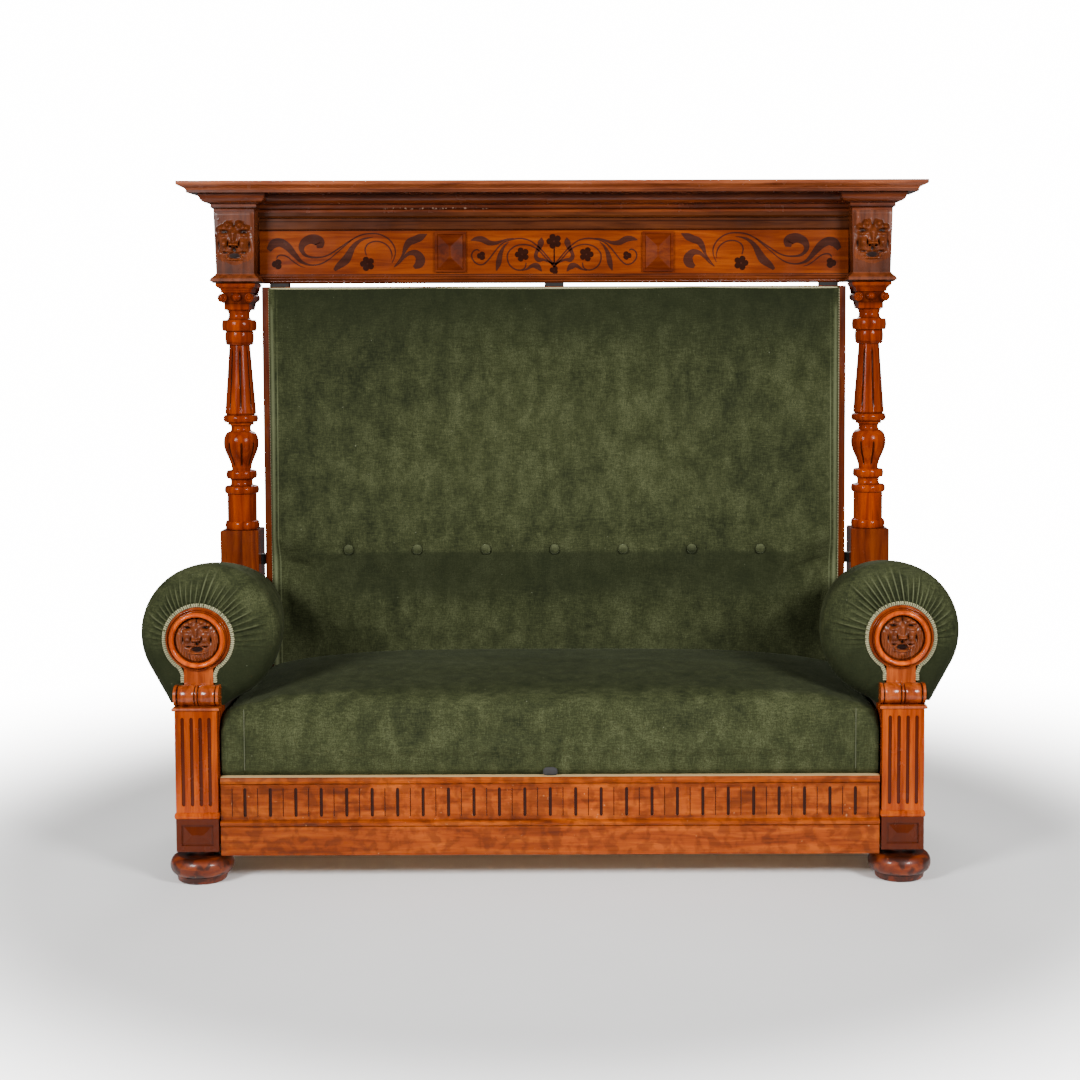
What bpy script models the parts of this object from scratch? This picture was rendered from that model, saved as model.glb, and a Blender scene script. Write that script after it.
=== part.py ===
"""Carved sofa bed in the neo-Renaissance manner, whose seat draws forward as a bed drawer.

Units are metres. X runs across the sofa, Y from front to back and Z up. The origin lies on the
floor, in the middle of the plan. Inside the script Y starts at the front faces of the front posts,
and the root empty shifts the whole sofa so that its plan is centred.
"""

import math

import bmesh
import bpy
import numpy as np
from mathutils import Matrix, Vector

# Clearances
GAP = 0.0003  # between pieces that are glued, screwed or laid on each other
RUNNING_GAP = 0.004  # at each side of the drawer, between the posts

# Posts and feet
SEAT_OPENING = 1.562  # clear width between the posts
POST = 0.100  # square section of all four posts
POST_CLEAR = 0.470  # clear depth between front and rear posts
FOOT_HEIGHT = 0.078
FOOT_RADIUS = 0.0745
POST_HEIGHT = 0.335
PLINTH_HEIGHT = 0.078
POST_BAND = 0.0155
POST_FLUTES = 4
POST_FLUTE_PITCH = 0.021
POST_FLUTE_WIDTH = 0.0083
POST_FLUTE_DEPTH = 0.003
PLINTH_PANEL = (0.075, 0.049)
REAR_POST_HEIGHT = 0.776

# Scroll, facing and roll of the arms
SCROLL_WIDTH = 0.106
SCROLL_HEIGHT = 0.058
SCROLL_DEPTH = 0.0417
SCROLL_CAP = 0.008
FACING_RADIUS = 0.0765
FACING_NECK = 0.069
FACING_DROP = 0.1627  # from the facing's centre down to the post top
FACING_THICKNESS = 0.022
MEDALLION_RADIUS = 0.0735
MEDALLION_INSIDE = 0.053
LION_DEPTH = 0.026
ARM_RADIUS = 0.166  # at its fullest, behind the gathers
ARM_TAIL = 0.085  # radius at the rear post
ARM_TAPER = 1.4  # how late the roll thins out: 1 would be a cone
ARM_INSET = 0.019  # of the roll's centre from the post's, towards the seat
ARM_RAISE = 0.007  # of the roll's centre over the facing's
ARM_FOOT_IN = 0.055  # from the post's centre to the roll's foot, at the seat
ARM_FOOT_OUT = 0.096  # and at the outside
ARM_SHOULDER = 0.060  # depth of the gathered front end
ARM_RIM = 0.003  # of the cover round the facing
ARM_PLEATS = 24
PLEAT_DEPTH = 0.0032
ARM_BOARD = 0.020
SIDE_RAIL = 0.022

# Columns, capitals and entablature blocks
COLUMN_HEIGHT = 0.5796
COLUMN_FLUTES = 8
FLUTE_WIDTH = 0.0056
FLUTE_DEPTH = 0.0034
CAPITAL_HEIGHT = 0.0697
VOLUTE_RADIUS = 0.0117
VOLUTE_OFFSET = 0.0352
BLOCK_HEIGHT = 0.1855
BLOCK_MOULDING = 0.0245
BLOCK_HALF = 0.0530
BLOCK_TAPER = 0.0040
BLOCK_LION_DEPTH = 0.030

# Cornice and frieze
BED_MOULD_HEIGHT = 0.0455
BED_MOULD_REACH = 0.034
CORONA_HEIGHT = 0.029
CORONA_REACH = 0.080
FRIEZE_RECESS = 0.070  # from the block fronts back to the frieze
FRIEZE_THICKNESS = 0.024
FRIEZE_CROWN = 0.016  # reach of the mouldings along the frieze's upper edge
FRIEZE_SIDE_PANEL = 0.4635  # length of an outer panel, from the block to the pyramid
PYRAMID_WIDTH = 0.081
PYRAMID_HEIGHT = 0.106
PYRAMID_DEPTH = 0.017

# Back
BACK_MARGIN = 0.0135  # at each side, from the frame to the rear posts
BACK_DROP = 0.045  # of the frame's foot under the post tops, behind the seat
BACK_HEAD_GAP = 0.0095  # under the frieze
BACK_FRAME = 0.040
BACK_STILE = 0.060
BACK_BORDER = 0.025  # thickness of the cushion along its edges
BACK_RIDGE = 0.085  # thickness of the cushion at its button line
BACK_REVEAL = 0.012  # wood that shows beside the cushion
BUTTON_COUNT = 7
BUTTON_PITCH = 0.179
BUTTON_RADIUS = 0.0125
BUTTON_Z = 0.318  # of the button line over the post tops
CLEAT_WIDTH = 0.050
CLEAT_INSET = 0.0445  # of the outer cleats from the ends of the back
SIDE_CLEAT = 0.026
LINING = 0.002

# Bed drawer
DRAWER_DROP = 0.011  # of the drawer front's lower edge under the posts
DRAWER_FRONT_HEIGHT = 0.1866
DRAWER_FRONT = 0.024
DRAWER_SET_BACK = 0.006  # from the post faces to the plain board
DRAWER_BOARD = 0.069  # height of the plain lower board
DRAWER_BEAD = 0.014
DRAWER_CROWN = 0.018
GROOVE_PITCH = 0.060
GROOVE_WIDTH = 0.0075
GROOVE_HEIGHT = 0.070
GROOVE_DEPTH = 0.003
SCORE_WIDTH = 0.002
SCORE_DEPTH = 0.0012
DRAWER_SIDE = 0.020
DRAWER_SIDE_HEIGHT = 0.0936
DRAWER_BOTTOM = 0.012
DRAWER_CLEAR = 0.043  # from the front's lower edge up to the box
RUNNER_WIDTH = 0.036
RUNNER_HEIGHT = 0.030
REAR_RAIL_DROP = 0.060  # of the rear rail's upper edge under the post tops

# Seat
SEAT_RAIL = 0.045
SEAT_RAIL_HEIGHT = 0.040
SEAT_SIDE_DROP = 0.018  # of the seat's side edges under the post tops
SEAT_FRONT_RISE = 0.030  # of the front edge over the post tops
SEAT_REAR_RISE = 0.052
SEAT_CROWN = 0.012
SEAT_NOSE = 0.048  # radius of the front edge
SEAT_REVEAL = 0.016  # from the drawer front's face back to the velvet
SEAT_BACK_GAP = 0.018  # from the rear posts' faces forward to the seat frame
STRAP_WIDTH = 0.055
STRAP_THICKNESS = 0.002
PULL_WIDTH = 0.034
PULL_HEIGHT = 0.020
PULL_THICKNESS = 0.004

# Turn-down feet of the drawer
TURN_FOOT = 0.030
TURN_FOOT_INSET = 0.327  # of the pivots from the ends of the drawer
TURN_FOOT_LIFT = 0.002  # over the floor when turned down
TURN_PIN = 0.006
TURN_PIN_DEPTH = 0.012
TURN_PIN_RISE = 0.025  # over the drawer front's lower edge

# Places that follow from the sizes above
POST_X = (SEAT_OPENING + POST) / 2
POST_TOP = FOOT_HEIGHT + POST_HEIGHT
REAR_FACE = POST + POST_CLEAR
REAR_Y = REAR_FACE + POST / 2
BACK_PLANE = REAR_FACE + POST
PLAN_SHIFT = -(POST / 2 - FOOT_RADIUS + BACK_PLANE) / 2
FACING_Y = SCROLL_DEPTH + GAP
ARM_Z = POST_TOP + GAP + FACING_DROP
CAPITAL_Z = REAR_POST_HEIGHT + COLUMN_HEIGHT
BLOCK_Z = CAPITAL_Z + CAPITAL_HEIGHT
CORNICE_Z = BLOCK_Z + BLOCK_HEIGHT
CORONA_Z = CORNICE_Z + BED_MOULD_HEIGHT
BLOCK_FRONT = REAR_Y - BLOCK_HALF
FRIEZE_Y = BLOCK_FRONT + FRIEZE_RECESS
FRIEZE_Z = BLOCK_Z + BLOCK_MOULDING
PYRAMID_X = POST_X - BLOCK_HALF - FRIEZE_SIDE_PANEL - PYRAMID_WIDTH / 2
BACK_HALF = SEAT_OPENING / 2 - BACK_MARGIN
BACK_Y = REAR_FACE + BACK_BORDER + 0.006
BACK_FOOT = POST_TOP - BACK_DROP
BACK_TOP = BLOCK_Z - BACK_HEAD_GAP
SEAT_HALF = SEAT_OPENING / 2 - RUNNING_GAP
SEAT_REAR = REAR_FACE - SEAT_BACK_GAP
SEAT_TOP = POST_TOP + SEAT_REAR_RISE
DRAWER_LIFT = FOOT_HEIGHT - DRAWER_DROP
DRAWER_TOP = DRAWER_LIFT + DRAWER_FRONT_HEIGHT
DRAWER_INNER = DRAWER_SET_BACK + DRAWER_FRONT
BOX_Z = DRAWER_LIFT + DRAWER_CLEAR
SEAT_FRAME_Z = BOX_Z + DRAWER_SIDE_HEIGHT + GAP
SEAT_Z = SEAT_FRAME_Z + SEAT_RAIL_HEIGHT + GAP
TURN_FOOT_X = SEAT_HALF - TURN_FOOT_INSET
PIVOT_Z = DRAWER_LIFT + TURN_PIN_RISE


def clear_scene():
    """Empties the scene, so that the sofa is all it holds."""
    for obj in list(bpy.data.objects):
        bpy.data.objects.remove(obj, do_unlink=True)


def finish(name, colour, roughness, metallic=0.0):
    """A plain Principled material in the piece's colour."""
    made = bpy.data.materials.new(name)
    made.use_nodes = True
    shader = made.node_tree.nodes["Principled BSDF"]
    shader.inputs["Base Color"].default_value = (*colour, 1.0)
    shader.inputs["Roughness"].default_value = roughness
    shader.inputs["Metallic"].default_value = metallic
    return made


def collection(name):
    made = bpy.data.collections.new(name)
    bpy.context.scene.collection.children.link(made)
    return made


def empty(name, location, parent=None):
    """A parent for a body, with its origin on the body's joint."""
    made = bpy.data.objects.new(name, None)
    PARTS.objects.link(made)
    made.parent = parent
    made.location = location
    return made


clear_scene()
PARTS = collection("sofa_bed")
CUTTERS = collection("cutters")
WALNUT = finish("polished_walnut", (0.23, 0.065, 0.022), 0.32)
HONEY = finish("frieze_veneer", (0.37, 0.14, 0.045), 0.35)
VELVET = finish("olive_velvet", (0.075, 0.085, 0.040), 0.90)
BEECH = finish("beech", (0.50, 0.33, 0.18), 0.65)
LINEN = finish("linen_lining", (0.45, 0.40, 0.30), 0.95)
JUTE = finish("jute_webbing", (0.36, 0.26, 0.14), 0.95)
IRON = finish("blackened_iron", (0.03, 0.03, 0.035), 0.50, 1.0)
LEATHER = finish("pull_leather", (0.12, 0.09, 0.10), 0.55)

FRAME = empty("frame", (0.0, PLAN_SHIFT, 0.0))
DRAWER = empty("bed_drawer", (0.0, DRAWER_SET_BACK, DRAWER_LIFT), FRAME)


def add(name, mesh, material, location=(0.0, 0.0, 0.0), parent=FRAME):
    """Places a mesh, given in the script's frame plus location, as one named piece."""
    obj = bpy.data.objects.new(name, mesh)
    PARTS.objects.link(obj)
    obj.parent = parent
    origin = parent.location if parent is not FRAME else Vector()
    obj.location = Vector(location) - origin
    mesh.materials.clear()
    mesh.materials.append(material)
    return obj


def add_pair(name, mesh, material, location):
    """The same piece at the left and at the right of the sofa."""
    x, y, z = location
    add(f"{name}_left", mesh, material, (-x, y, z))
    add(f"{name}_right", mesh.copy(), material, (x, y, z))


def mesh_of(name, bm):
    """Finishes a bmesh: faces turned outward, round parts shaded smooth."""
    bmesh.ops.recalc_face_normals(bm, faces=bm.faces)
    mesh = bpy.data.meshes.new(name)
    bm.to_mesh(mesh)
    bm.free()
    return shaded(mesh)


def shaded(mesh):
    mesh.shade_smooth()
    mesh.set_sharp_from_angle(angle=math.radians(32))
    return mesh


def evaluated(obj):
    """The object's mesh with its modifiers, as a mesh of its own."""
    bpy.context.view_layer.update()
    graph = bpy.context.evaluated_depsgraph_get()
    return bpy.data.meshes.new_from_object(obj.evaluated_get(graph))


def helper(name, data):
    """A guide or cutter, which is not a piece of the sofa."""
    obj = bpy.data.objects.new(name, data)
    CUTTERS.objects.link(obj)
    obj.hide_render = True
    obj.display_type = "WIRE"
    return obj


def combined(mesh, tool, operation):
    """Joins two meshes, or cuts one with the other, by an exact Boolean."""
    target = helper("combine_target", mesh)
    other = helper("combine_tool", tool)
    modifier = target.modifiers.new("combine", "BOOLEAN")
    modifier.operation = operation
    modifier.solver = "EXACT"
    modifier.object = other
    result = evaluated(target)
    bpy.data.objects.remove(target)
    bpy.data.objects.remove(other)
    return shaded(result)


def cut(mesh, tool):
    return combined(mesh, tool, "DIFFERENCE")


def join(mesh, tool):
    return combined(mesh, tool, "UNION")


def moved(mesh, matrix):
    mesh.transform(matrix)
    if matrix.determinant() < 0:
        mesh.flip_normals()
    return mesh


def box(low, high, bevel=0.0):
    """A cuboid between two corners, with eased edges if asked for."""
    low, high = Vector(low), Vector(high)
    bm = bmesh.new()
    place = Matrix.Translation((low + high) / 2) @ Matrix.Diagonal((*(high - low), 1.0))
    bmesh.ops.create_cube(bm, size=1.0, matrix=place)
    if bevel:
        bmesh.ops.bevel(bm, geom=bm.edges[:], offset=bevel, segments=1, profile=0.5, affect="EDGES")
    return mesh_of("box", bm)


def sphere(radii, centre, u=12, v=8):
    bm = bmesh.new()
    place = Matrix.Translation(centre) @ Matrix.Diagonal((*radii, 1.0))
    bmesh.ops.create_uvsphere(bm, u_segments=u, v_segments=v, radius=1.0, matrix=place)
    return mesh_of("sphere", bm)


def turnings(elements, rounds=6):
    """Profile (radius, height) of stacked turnings, listed from the bottom up.

    An element is (shape, height, first, second). A cone runs straight from the first radius to the
    second; a bulge starts and ends at the first radius and reaches the second half-way up, which
    makes a torus or, with a smaller second radius, a scotia; an ogee swings from one radius to the
    other; a dome closes from the first radius over to the second.
    """
    points = []
    level = 0.0
    for shape, height, first, second in elements:
        t = np.linspace(0.0, 1.0, 2 if shape == "cone" else rounds + 1)
        if shape == "cone":
            radius, rise = first + (second - first) * t, t
        elif shape == "bulge":
            radius, rise = first + (second - first) * np.sin(np.pi * t), (1 - np.cos(np.pi * t)) / 2
        elif shape == "ogee":
            radius, rise = first + (second - first) * (1 - np.cos(np.pi * t)) / 2, t
        else:
            radius, rise = second + (first - second) * np.cos(np.pi / 2 * t), np.sin(np.pi / 2 * t)
        points += [(float(r), level + height * float(s)) for r, s in zip(radius, rise)]
        level += height
    kept = [points[0]]
    for point in points[1:]:
        if math.dist(point, kept[-1]) > 1e-6:
            kept.append(point)
    return kept


def lathe(profile, steps):
    """Solid of revolution about Z from a profile that is listed from the bottom up."""
    outline = [(0.0, profile[-1][1]), *reversed(profile), (0.0, profile[0][1])]
    mesh = bpy.data.meshes.new("turned")
    edges = [(i, i + 1) for i in range(len(outline) - 1)]
    mesh.from_pydata([(r, 0.0, z) for r, z in outline], edges, [])
    obj = helper("turned", mesh)
    screw = obj.modifiers.new("turn", "SCREW")
    screw.steps = screw.render_steps = steps
    screw.use_merge_vertices = True
    screw.merge_threshold = 0.00001
    result = evaluated(obj)
    bpy.data.objects.remove(obj)
    bm = bmesh.new()
    bm.from_mesh(result)
    bmesh.ops.remove_doubles(bm, verts=bm.verts, dist=0.00001)
    return mesh_of("turned", bm)


def square_turned(profile):
    """The same profile run round a square, mitred at its corners; radii are half widths."""
    wide = [(r * math.sqrt(2), z) for r, z in profile]
    return moved(lathe(wide, 4), Matrix.Rotation(math.pi / 4, 4, "Z"))


def plate(outlines, thickness):
    """Flat plate in the XY plane from closed outlines, centred on Z = 0."""
    curve = bpy.data.curves.new("outline", "CURVE")
    curve.dimensions = "2D"
    curve.fill_mode = "BOTH"
    curve.extrude = thickness / 2
    for outline in outlines:
        spline = curve.splines.new("POLY")
        spline.points.add(len(outline) - 1)
        for point, (x, y) in zip(spline.points, outline):
            point.co = (x, y, 0.0, 1.0)
        spline.use_cyclic_u = True
    obj = helper("outline", curve)
    mesh = evaluated(obj)
    bpy.data.objects.remove(obj)
    bm = bmesh.new()
    bm.from_mesh(mesh)
    bmesh.ops.remove_doubles(bm, verts=bm.verts, dist=0.00001)
    return mesh_of("plate", bm)


# A plate's outline drawn in XZ with its thickness along Y, and one drawn in YZ that runs along X.
FACING_FRONT = Matrix.Rotation(math.pi / 2, 4, "X")
ALONG_X = Matrix(((0, 0, 1, 0), (1, 0, 0, 0), (0, 1, 0, 0), (0, 0, 0, 1)))


def front_plate(outlines, y_front, y_back):
    """Plate from outlines in XZ between two Y planes."""
    middle = Matrix.Translation((0.0, (y_front + y_back) / 2, 0.0))
    return moved(plate(outlines, y_back - y_front), middle @ FACING_FRONT)


def rail(section, half_length):
    """Moulded rail: a section in YZ carried along X from -half_length to half_length."""
    return moved(plate([section], 2 * half_length), ALONG_X)


def slot(x, z, width, height, rounds=6):
    """Outline of an upright slot with round ends."""
    r = width / 2
    top = [math.pi * k / rounds for k in range(rounds + 1)]
    upper = [(x + r * math.cos(a), z + height / 2 - r + r * math.sin(a)) for a in top]
    return upper + [(2 * x - px, 2 * z - pz) for px, pz in upper]


def loft(rings, closed=False):
    """Skin over rings of equal point counts, capped at both ends unless the rings close up."""
    bm = bmesh.new()
    rows = [[bm.verts.new(point) for point in ring] for ring in rings]
    count = len(rows[0])
    last = len(rows) if closed else len(rows) - 1
    for i in range(last):
        near, far = rows[i], rows[(i + 1) % len(rows)]
        for k in range(count):
            n = (k + 1) % count
            bm.faces.new((near[k], near[n], far[n], far[k]))
    bmesh.ops.triangulate(bm, faces=bm.faces)
    if not closed:
        bm.faces.new(rows[0])
        bm.faces.new(rows[-1])
    return mesh_of("loft", bm)


def trimmed_back(mesh, y):
    """Cuts away what lies behind a Y plane and closes the cut."""
    bm = bmesh.new()
    bm.from_mesh(mesh)
    geom = bm.verts[:] + bm.edges[:] + bm.faces[:]
    plane = bmesh.ops.bisect_plane(
        bm, geom=geom, dist=0.000001, plane_co=(0, y, 0), plane_no=(0, 1, 0), clear_outer=True
    )
    edges = [e for e in plane["geom_cut"] if isinstance(e, bmesh.types.BMEdge)]
    if edges:
        bmesh.ops.edgenet_fill(bm, edges=edges)
    return mesh_of("trimmed", bm)


def gauss(u, v, at, spread):
    """Smooth bump over the face's own coordinates."""
    return np.exp(-(((u - at[0]) / spread[0]) ** 2) - ((v - at[1]) / spread[1]) ** 2)


def lion_height(u, v):
    """Relief of a lion mask over (u, v), both from -1 to 1, as a share of its depth."""
    side = np.abs(u)
    radius = np.hypot(u, v)
    height = 0.42 * np.clip(1 - radius**2, 0, 1)
    height += 0.42 * gauss(side, v, (0.15, -0.27), (0.24, 0.20))  # muzzle pads
    height += 0.26 * gauss(u, v, (0.0, 0.12), (0.15, 0.42))  # bridge of the nose
    height += 0.24 * gauss(u, v, (0.0, -0.08), (0.17, 0.12))  # nose
    height += 0.22 * gauss(side, v, (0.36, 0.38), (0.20, 0.10))  # brows
    height -= 0.24 * gauss(side, v, (0.36, 0.17), (0.16, 0.09))  # eye sockets
    height += 0.14 * gauss(side, v, (0.36, 0.16), (0.08, 0.07))  # eyes
    height += 0.14 * gauss(side, v, (0.58, -0.12), (0.16, 0.26))  # cheeks
    height -= 0.30 * gauss(u, v, (0.0, -0.50), (0.30, 0.07))  # mouth
    height += 0.22 * gauss(u, v, (0.0, -0.68), (0.24, 0.13))  # chin
    height += 0.16 * gauss(side, v, (0.62, 0.66), (0.15, 0.15))  # ears
    return np.clip(height, 0.02, None)


def lion_mask(half_width, half_height, depth, rings=8, sectors=24):
    """Carved lion mask: a relief that rises towards -Y from a flat back at Y = 0."""
    radius = np.linspace(0.0, 1.0, rings + 1)[1:]
    angle = np.linspace(0.0, 2 * np.pi, sectors, endpoint=False)
    u = radius[:, None] * np.cos(angle)
    v = radius[:, None] * np.sin(angle)
    y = -depth * lion_height(u, v)
    y[-1] = -0.03 * depth
    bm = bmesh.new()
    grid = [
        [bm.verts.new((half_width * u[i, k], y[i, k], half_height * v[i, k])) for k in range(sectors)]
        for i in range(rings)
    ]
    back = [bm.verts.new((p.co.x, 0.0, p.co.z)) for p in grid[-1]]
    nose = bm.verts.new((0.0, -depth * float(lion_height(np.zeros(1), np.zeros(1))[0]), 0.0))
    layers = grid + [back]
    for k in range(sectors):
        n = (k + 1) % sectors
        bm.faces.new((nose, grid[0][n], grid[0][k]))
        for near, far in zip(layers, layers[1:]):
            bm.faces.new((near[k], near[n], far[n], far[k]))
    bm.faces.new(back)
    bmesh.ops.triangulate(bm, faces=bm.faces)
    return mesh_of("lion", bm)


def front_feet():
    """Bun feet: base ring, flattened ball and neck."""
    profile = turnings(
        [
            ("cone", 0.016, 0.057, 0.060),
            ("bulge", 0.046, 0.056, FOOT_RADIUS),
            ("bulge", FOOT_HEIGHT - 0.062 - GAP, 0.044, 0.034),
        ],
        rounds=4,
    )
    add_pair("front_foot", lathe(profile, 20), WALNUT, (POST_X, POST / 2, 0.0))


def front_posts():
    """Square posts with a plinth panel, a moulding band and flutes on the front."""
    half = POST / 2
    shaft = POST_HEIGHT - PLINTH_HEIGHT - POST_BAND
    profile = turnings(
        [
            ("cone", PLINTH_HEIGHT, half, half),
            ("bulge", POST_BAND, half, half + 0.003),
            ("cone", shaft, half - 0.0005, half - 0.0005),
        ],
        rounds=4,
    )
    mesh = trimmed_back(square_turned(profile), half)
    first = -(POST_FLUTES - 1) / 2 * POST_FLUTE_PITCH
    height = shaft - 0.030
    centre = PLINTH_HEIGHT + POST_BAND + shaft / 2
    slots = [
        slot(first + k * POST_FLUTE_PITCH, centre, POST_FLUTE_WIDTH, height, 4)
        for k in range(POST_FLUTES)
    ]
    mesh = cut(mesh, front_plate(slots, -half - 0.010, -half + 0.0005 + POST_FLUTE_DEPTH))
    wide, high = PLINTH_PANEL[0] / 2, PLINTH_PANEL[1] / 2
    middle = PLINTH_HEIGHT / 2
    sunk = box((-wide, -half - 0.010, middle - high), (wide, -half + 0.0045, middle + high))
    mesh = cut(mesh, sunk)
    field = pyramid(wide - 0.005, high - 0.005, [(0.0, 0.0), (0.0, 0.0025), (0.019, 0.0060)])
    mesh = join(mesh, moved(field, Matrix.Translation((0.0, -half + 0.0065, middle))))
    add_pair("front_post", mesh, WALNUT, (POST_X, half, FOOT_HEIGHT))


def pyramid(half_width, half_height, steps):
    """Raised field towards -Y: each step is (inset, rise), the last one its flat top."""
    rings = []
    for inset, rise in steps:
        w, h = half_width - inset, half_height - inset
        rings.append([(-w, -rise, -h), (w, -rise, -h), (w, -rise, h), (-w, -rise, h)])
    return loft(rings)


def front_scrolls():
    """Carved scroll on each front post: two lobes with a bead between and a fillet at each side."""
    stations = np.linspace(-1.0, 1.0, 19)
    half = SCROLL_WIDTH / 2
    roll = (SCROLL_HEIGHT - SCROLL_CAP) / 2
    centre_z = SCROLL_CAP + roll
    turn = np.radians(np.linspace(-78.0, 112.0, 8))
    rings = []
    for s in stations:
        lobe = math.sqrt(max(0.0, 1 - ((abs(s) - 0.46) / 0.40) ** 2))
        bead = 0.92 if abs(s) < 0.06 else 0.0
        fillet = 0.86 if abs(s) > 0.88 else 0.0
        swell = 0.74 + 0.26 * max(lobe, bead, fillet)
        depth = 0.026 * swell
        height = roll * (0.80 + 0.20 * swell)
        y = SCROLL_DEPTH - 0.0155 - depth * np.cos(turn)
        z = centre_z - (roll - height) + height * np.sin(turn)
        z = np.maximum(z, SCROLL_CAP - 0.001)
        ring = [(s * half, float(b), float(c)) for b, c in zip(y, z)]
        ring.append((s * half, SCROLL_DEPTH, float(z[-1])))
        ring.append((s * half, SCROLL_DEPTH, SCROLL_CAP - 0.001))
        rings.append(ring)
    cap = box((-half - 0.0025, -0.005, GAP), (half + 0.0025, SCROLL_DEPTH, SCROLL_CAP))
    add_pair("front_scroll", join(loft(rings), cap), WALNUT, (POST_X, 0.0, POST_TOP))


def keyhole(radius, neck, angles):
    """Distance from the facing's centre to a disc with a neck that runs down to the post."""
    angles = np.abs(angles)
    foot = math.atan2(neck, FACING_DROP)
    crotch = math.asin(neck / radius)
    reach = np.full_like(angles, radius)
    side = angles < crotch
    reach[side] = neck / np.maximum(np.sin(angles[side]), 1e-6)
    base = angles <= foot
    reach[base] = FACING_DROP / np.cos(angles[base])
    return reach


def roll_radius(depth):
    """Radius of the roll from the gathers, at depth 0, to the rear post, at depth 1."""
    return ARM_RADIUS - (ARM_RADIUS - ARM_TAIL) * depth**ARM_TAPER


def pear(angles, depth):
    """Distance from the roll's centre to its section, whose sides run straight down to its foot."""
    radius = roll_radius(depth)
    drop = FACING_DROP + ARM_RAISE
    outside = ARM_FOOT_OUT + (ARM_FOOT_IN - ARM_FOOT_OUT) * depth
    half = np.where(angles > 0.0, outside + ARM_INSET, ARM_FOOT_IN - ARM_INSET)
    angles = np.abs(angles)
    foot = np.arctan2(half, drop)
    tangent = foot + np.arccos(radius / np.hypot(half, drop))
    reach = np.full_like(angles, radius)
    flank = angles < tangent
    reach[flank] = radius / np.cos(tangent - angles)[flank]
    base = angles <= foot
    reach[base] = drop / np.cos(angles[base])
    return reach


def around(angles, reach, y, x=0.0, z=0.0):
    """Points of an arm section round the centre x, z: angles are measured from straight down."""
    return np.stack([x + reach * np.sin(angles), y + 0 * reach, z - reach * np.cos(angles)], axis=-1)


def section_angles(radius, neck):
    """Angles round an arm section, with one at each corner of the keyhole and of the roll."""
    even = np.linspace(0.0, math.pi, ARM_PLEATS + 1)
    corners = [math.atan2(neck, FACING_DROP), math.asin(neck / radius)]
    drop = FACING_DROP + ARM_RAISE
    outer = np.unique([*even[1:-1], *corners, math.atan2(ARM_FOOT_OUT + ARM_INSET, drop)])
    inner = np.unique([*even[1:-1], *corners, math.atan2(ARM_FOOT_IN - ARM_INSET, drop)])
    return np.concatenate([-inner[::-1], [0.0], outer, [math.pi]])


def arm_facings():
    """Keyhole board that closes the front of each arm."""
    neck = FACING_NECK / 2
    angles = section_angles(FACING_RADIUS, neck)
    reach = keyhole(FACING_RADIUS, neck, angles)
    outline = [(x, z) for x, _, z in around(angles, reach, 0.0)]
    mesh = front_plate([outline], 0.0, FACING_THICKNESS)
    add_pair("arm_facing", mesh, WALNUT, (POST_X, FACING_Y, ARM_Z))


def arm_medallions():
    """Turned ring with a dished ground and a lion mask carved in it."""
    t = np.linspace(0.0, math.pi, 6)
    width = (MEDALLION_RADIUS - MEDALLION_INSIDE) / 2
    middle = (MEDALLION_RADIUS + MEDALLION_INSIDE) / 2 - 0.003
    profile = turnings(
        [
            ("cone", 0.006, MEDALLION_RADIUS, MEDALLION_RADIUS),
            ("bulge", 0.004, MEDALLION_RADIUS - 0.004, MEDALLION_RADIUS - 0.002),
        ],
        rounds=3,
    )
    torus = [(middle + (width - 0.001) * math.cos(a), 0.010 + 0.010 * math.sin(a)) for a in t]
    dish = [(MEDALLION_INSIDE - 0.004, 0.007)]
    turned = lathe(profile + torus + dish, 24)
    turned = moved(turned, Matrix.Translation((0.0, -GAP, 0.0)) @ FACING_FRONT)
    mask = lion_mask(MEDALLION_INSIDE - 0.006, MEDALLION_INSIDE - 0.006, LION_DEPTH)
    mesh = join(turned, moved(mask, Matrix.Translation((0.0, -0.0055, 0.0))))
    add_pair("arm_medallion", mesh, WALNUT, (POST_X, FACING_Y, ARM_Z))


def arm_rolls():
    """Velvet roll from the facing back to the rear post, its front end gathered in pleats."""
    radius = FACING_RADIUS + GAP
    neck = FACING_NECK / 2 + GAP
    angles = section_angles(radius + ARM_RIM, neck + ARM_RIM)
    inner, outer = keyhole(radius + ARM_RIM, neck + ARM_RIM, angles), pear(angles, 0.0)
    lip = FACING_Y + 0.004
    rings = [around(angles, inner, lip)]
    ruffle = np.cos(ARM_PLEATS * angles) * (np.abs(angles) > 0.8)
    for t in np.linspace(0.0, 1.0, 6)[1:]:
        swell = math.sin(t * math.pi / 2)
        pleat = ruffle * PLEAT_DEPTH * math.sin(math.pi * t)
        y = lip + ARM_SHOULDER * (1 - math.cos(t * math.pi / 2))
        near = around(angles, inner + pleat, y)
        far = around(angles, outer + pleat, y, -ARM_INSET, ARM_RAISE)
        rings.append(near + (far - near) * swell)
    start, end = lip + ARM_SHOULDER, REAR_FACE - GAP
    for depth in (0.3, 0.65, 1.0):
        y = start + (end - start) * depth
        rings.append(around(angles, pear(angles, depth), y, -ARM_INSET, ARM_RAISE))
    angles = section_angles(radius, neck)
    outline = [(x, z) for x, _, z in around(angles, keyhole(radius, neck, angles), 0.0)]
    outline = [(x, z - 0.010 if z < 1e-6 - FACING_DROP else z) for x, z in outline]
    recess = front_plate([outline], lip - 0.010, FACING_Y + FACING_THICKNESS + GAP)
    roll = cut(loft(rings), recess)
    add("arm_roll_right", roll, VELVET, (POST_X, 0.0, ARM_Z))
    mirrored = moved(roll.copy(), Matrix.Scale(-1.0, 4, (1.0, 0.0, 0.0)))
    add("arm_roll_left", mirrored, VELVET, (-POST_X, 0.0, ARM_Z))


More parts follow.
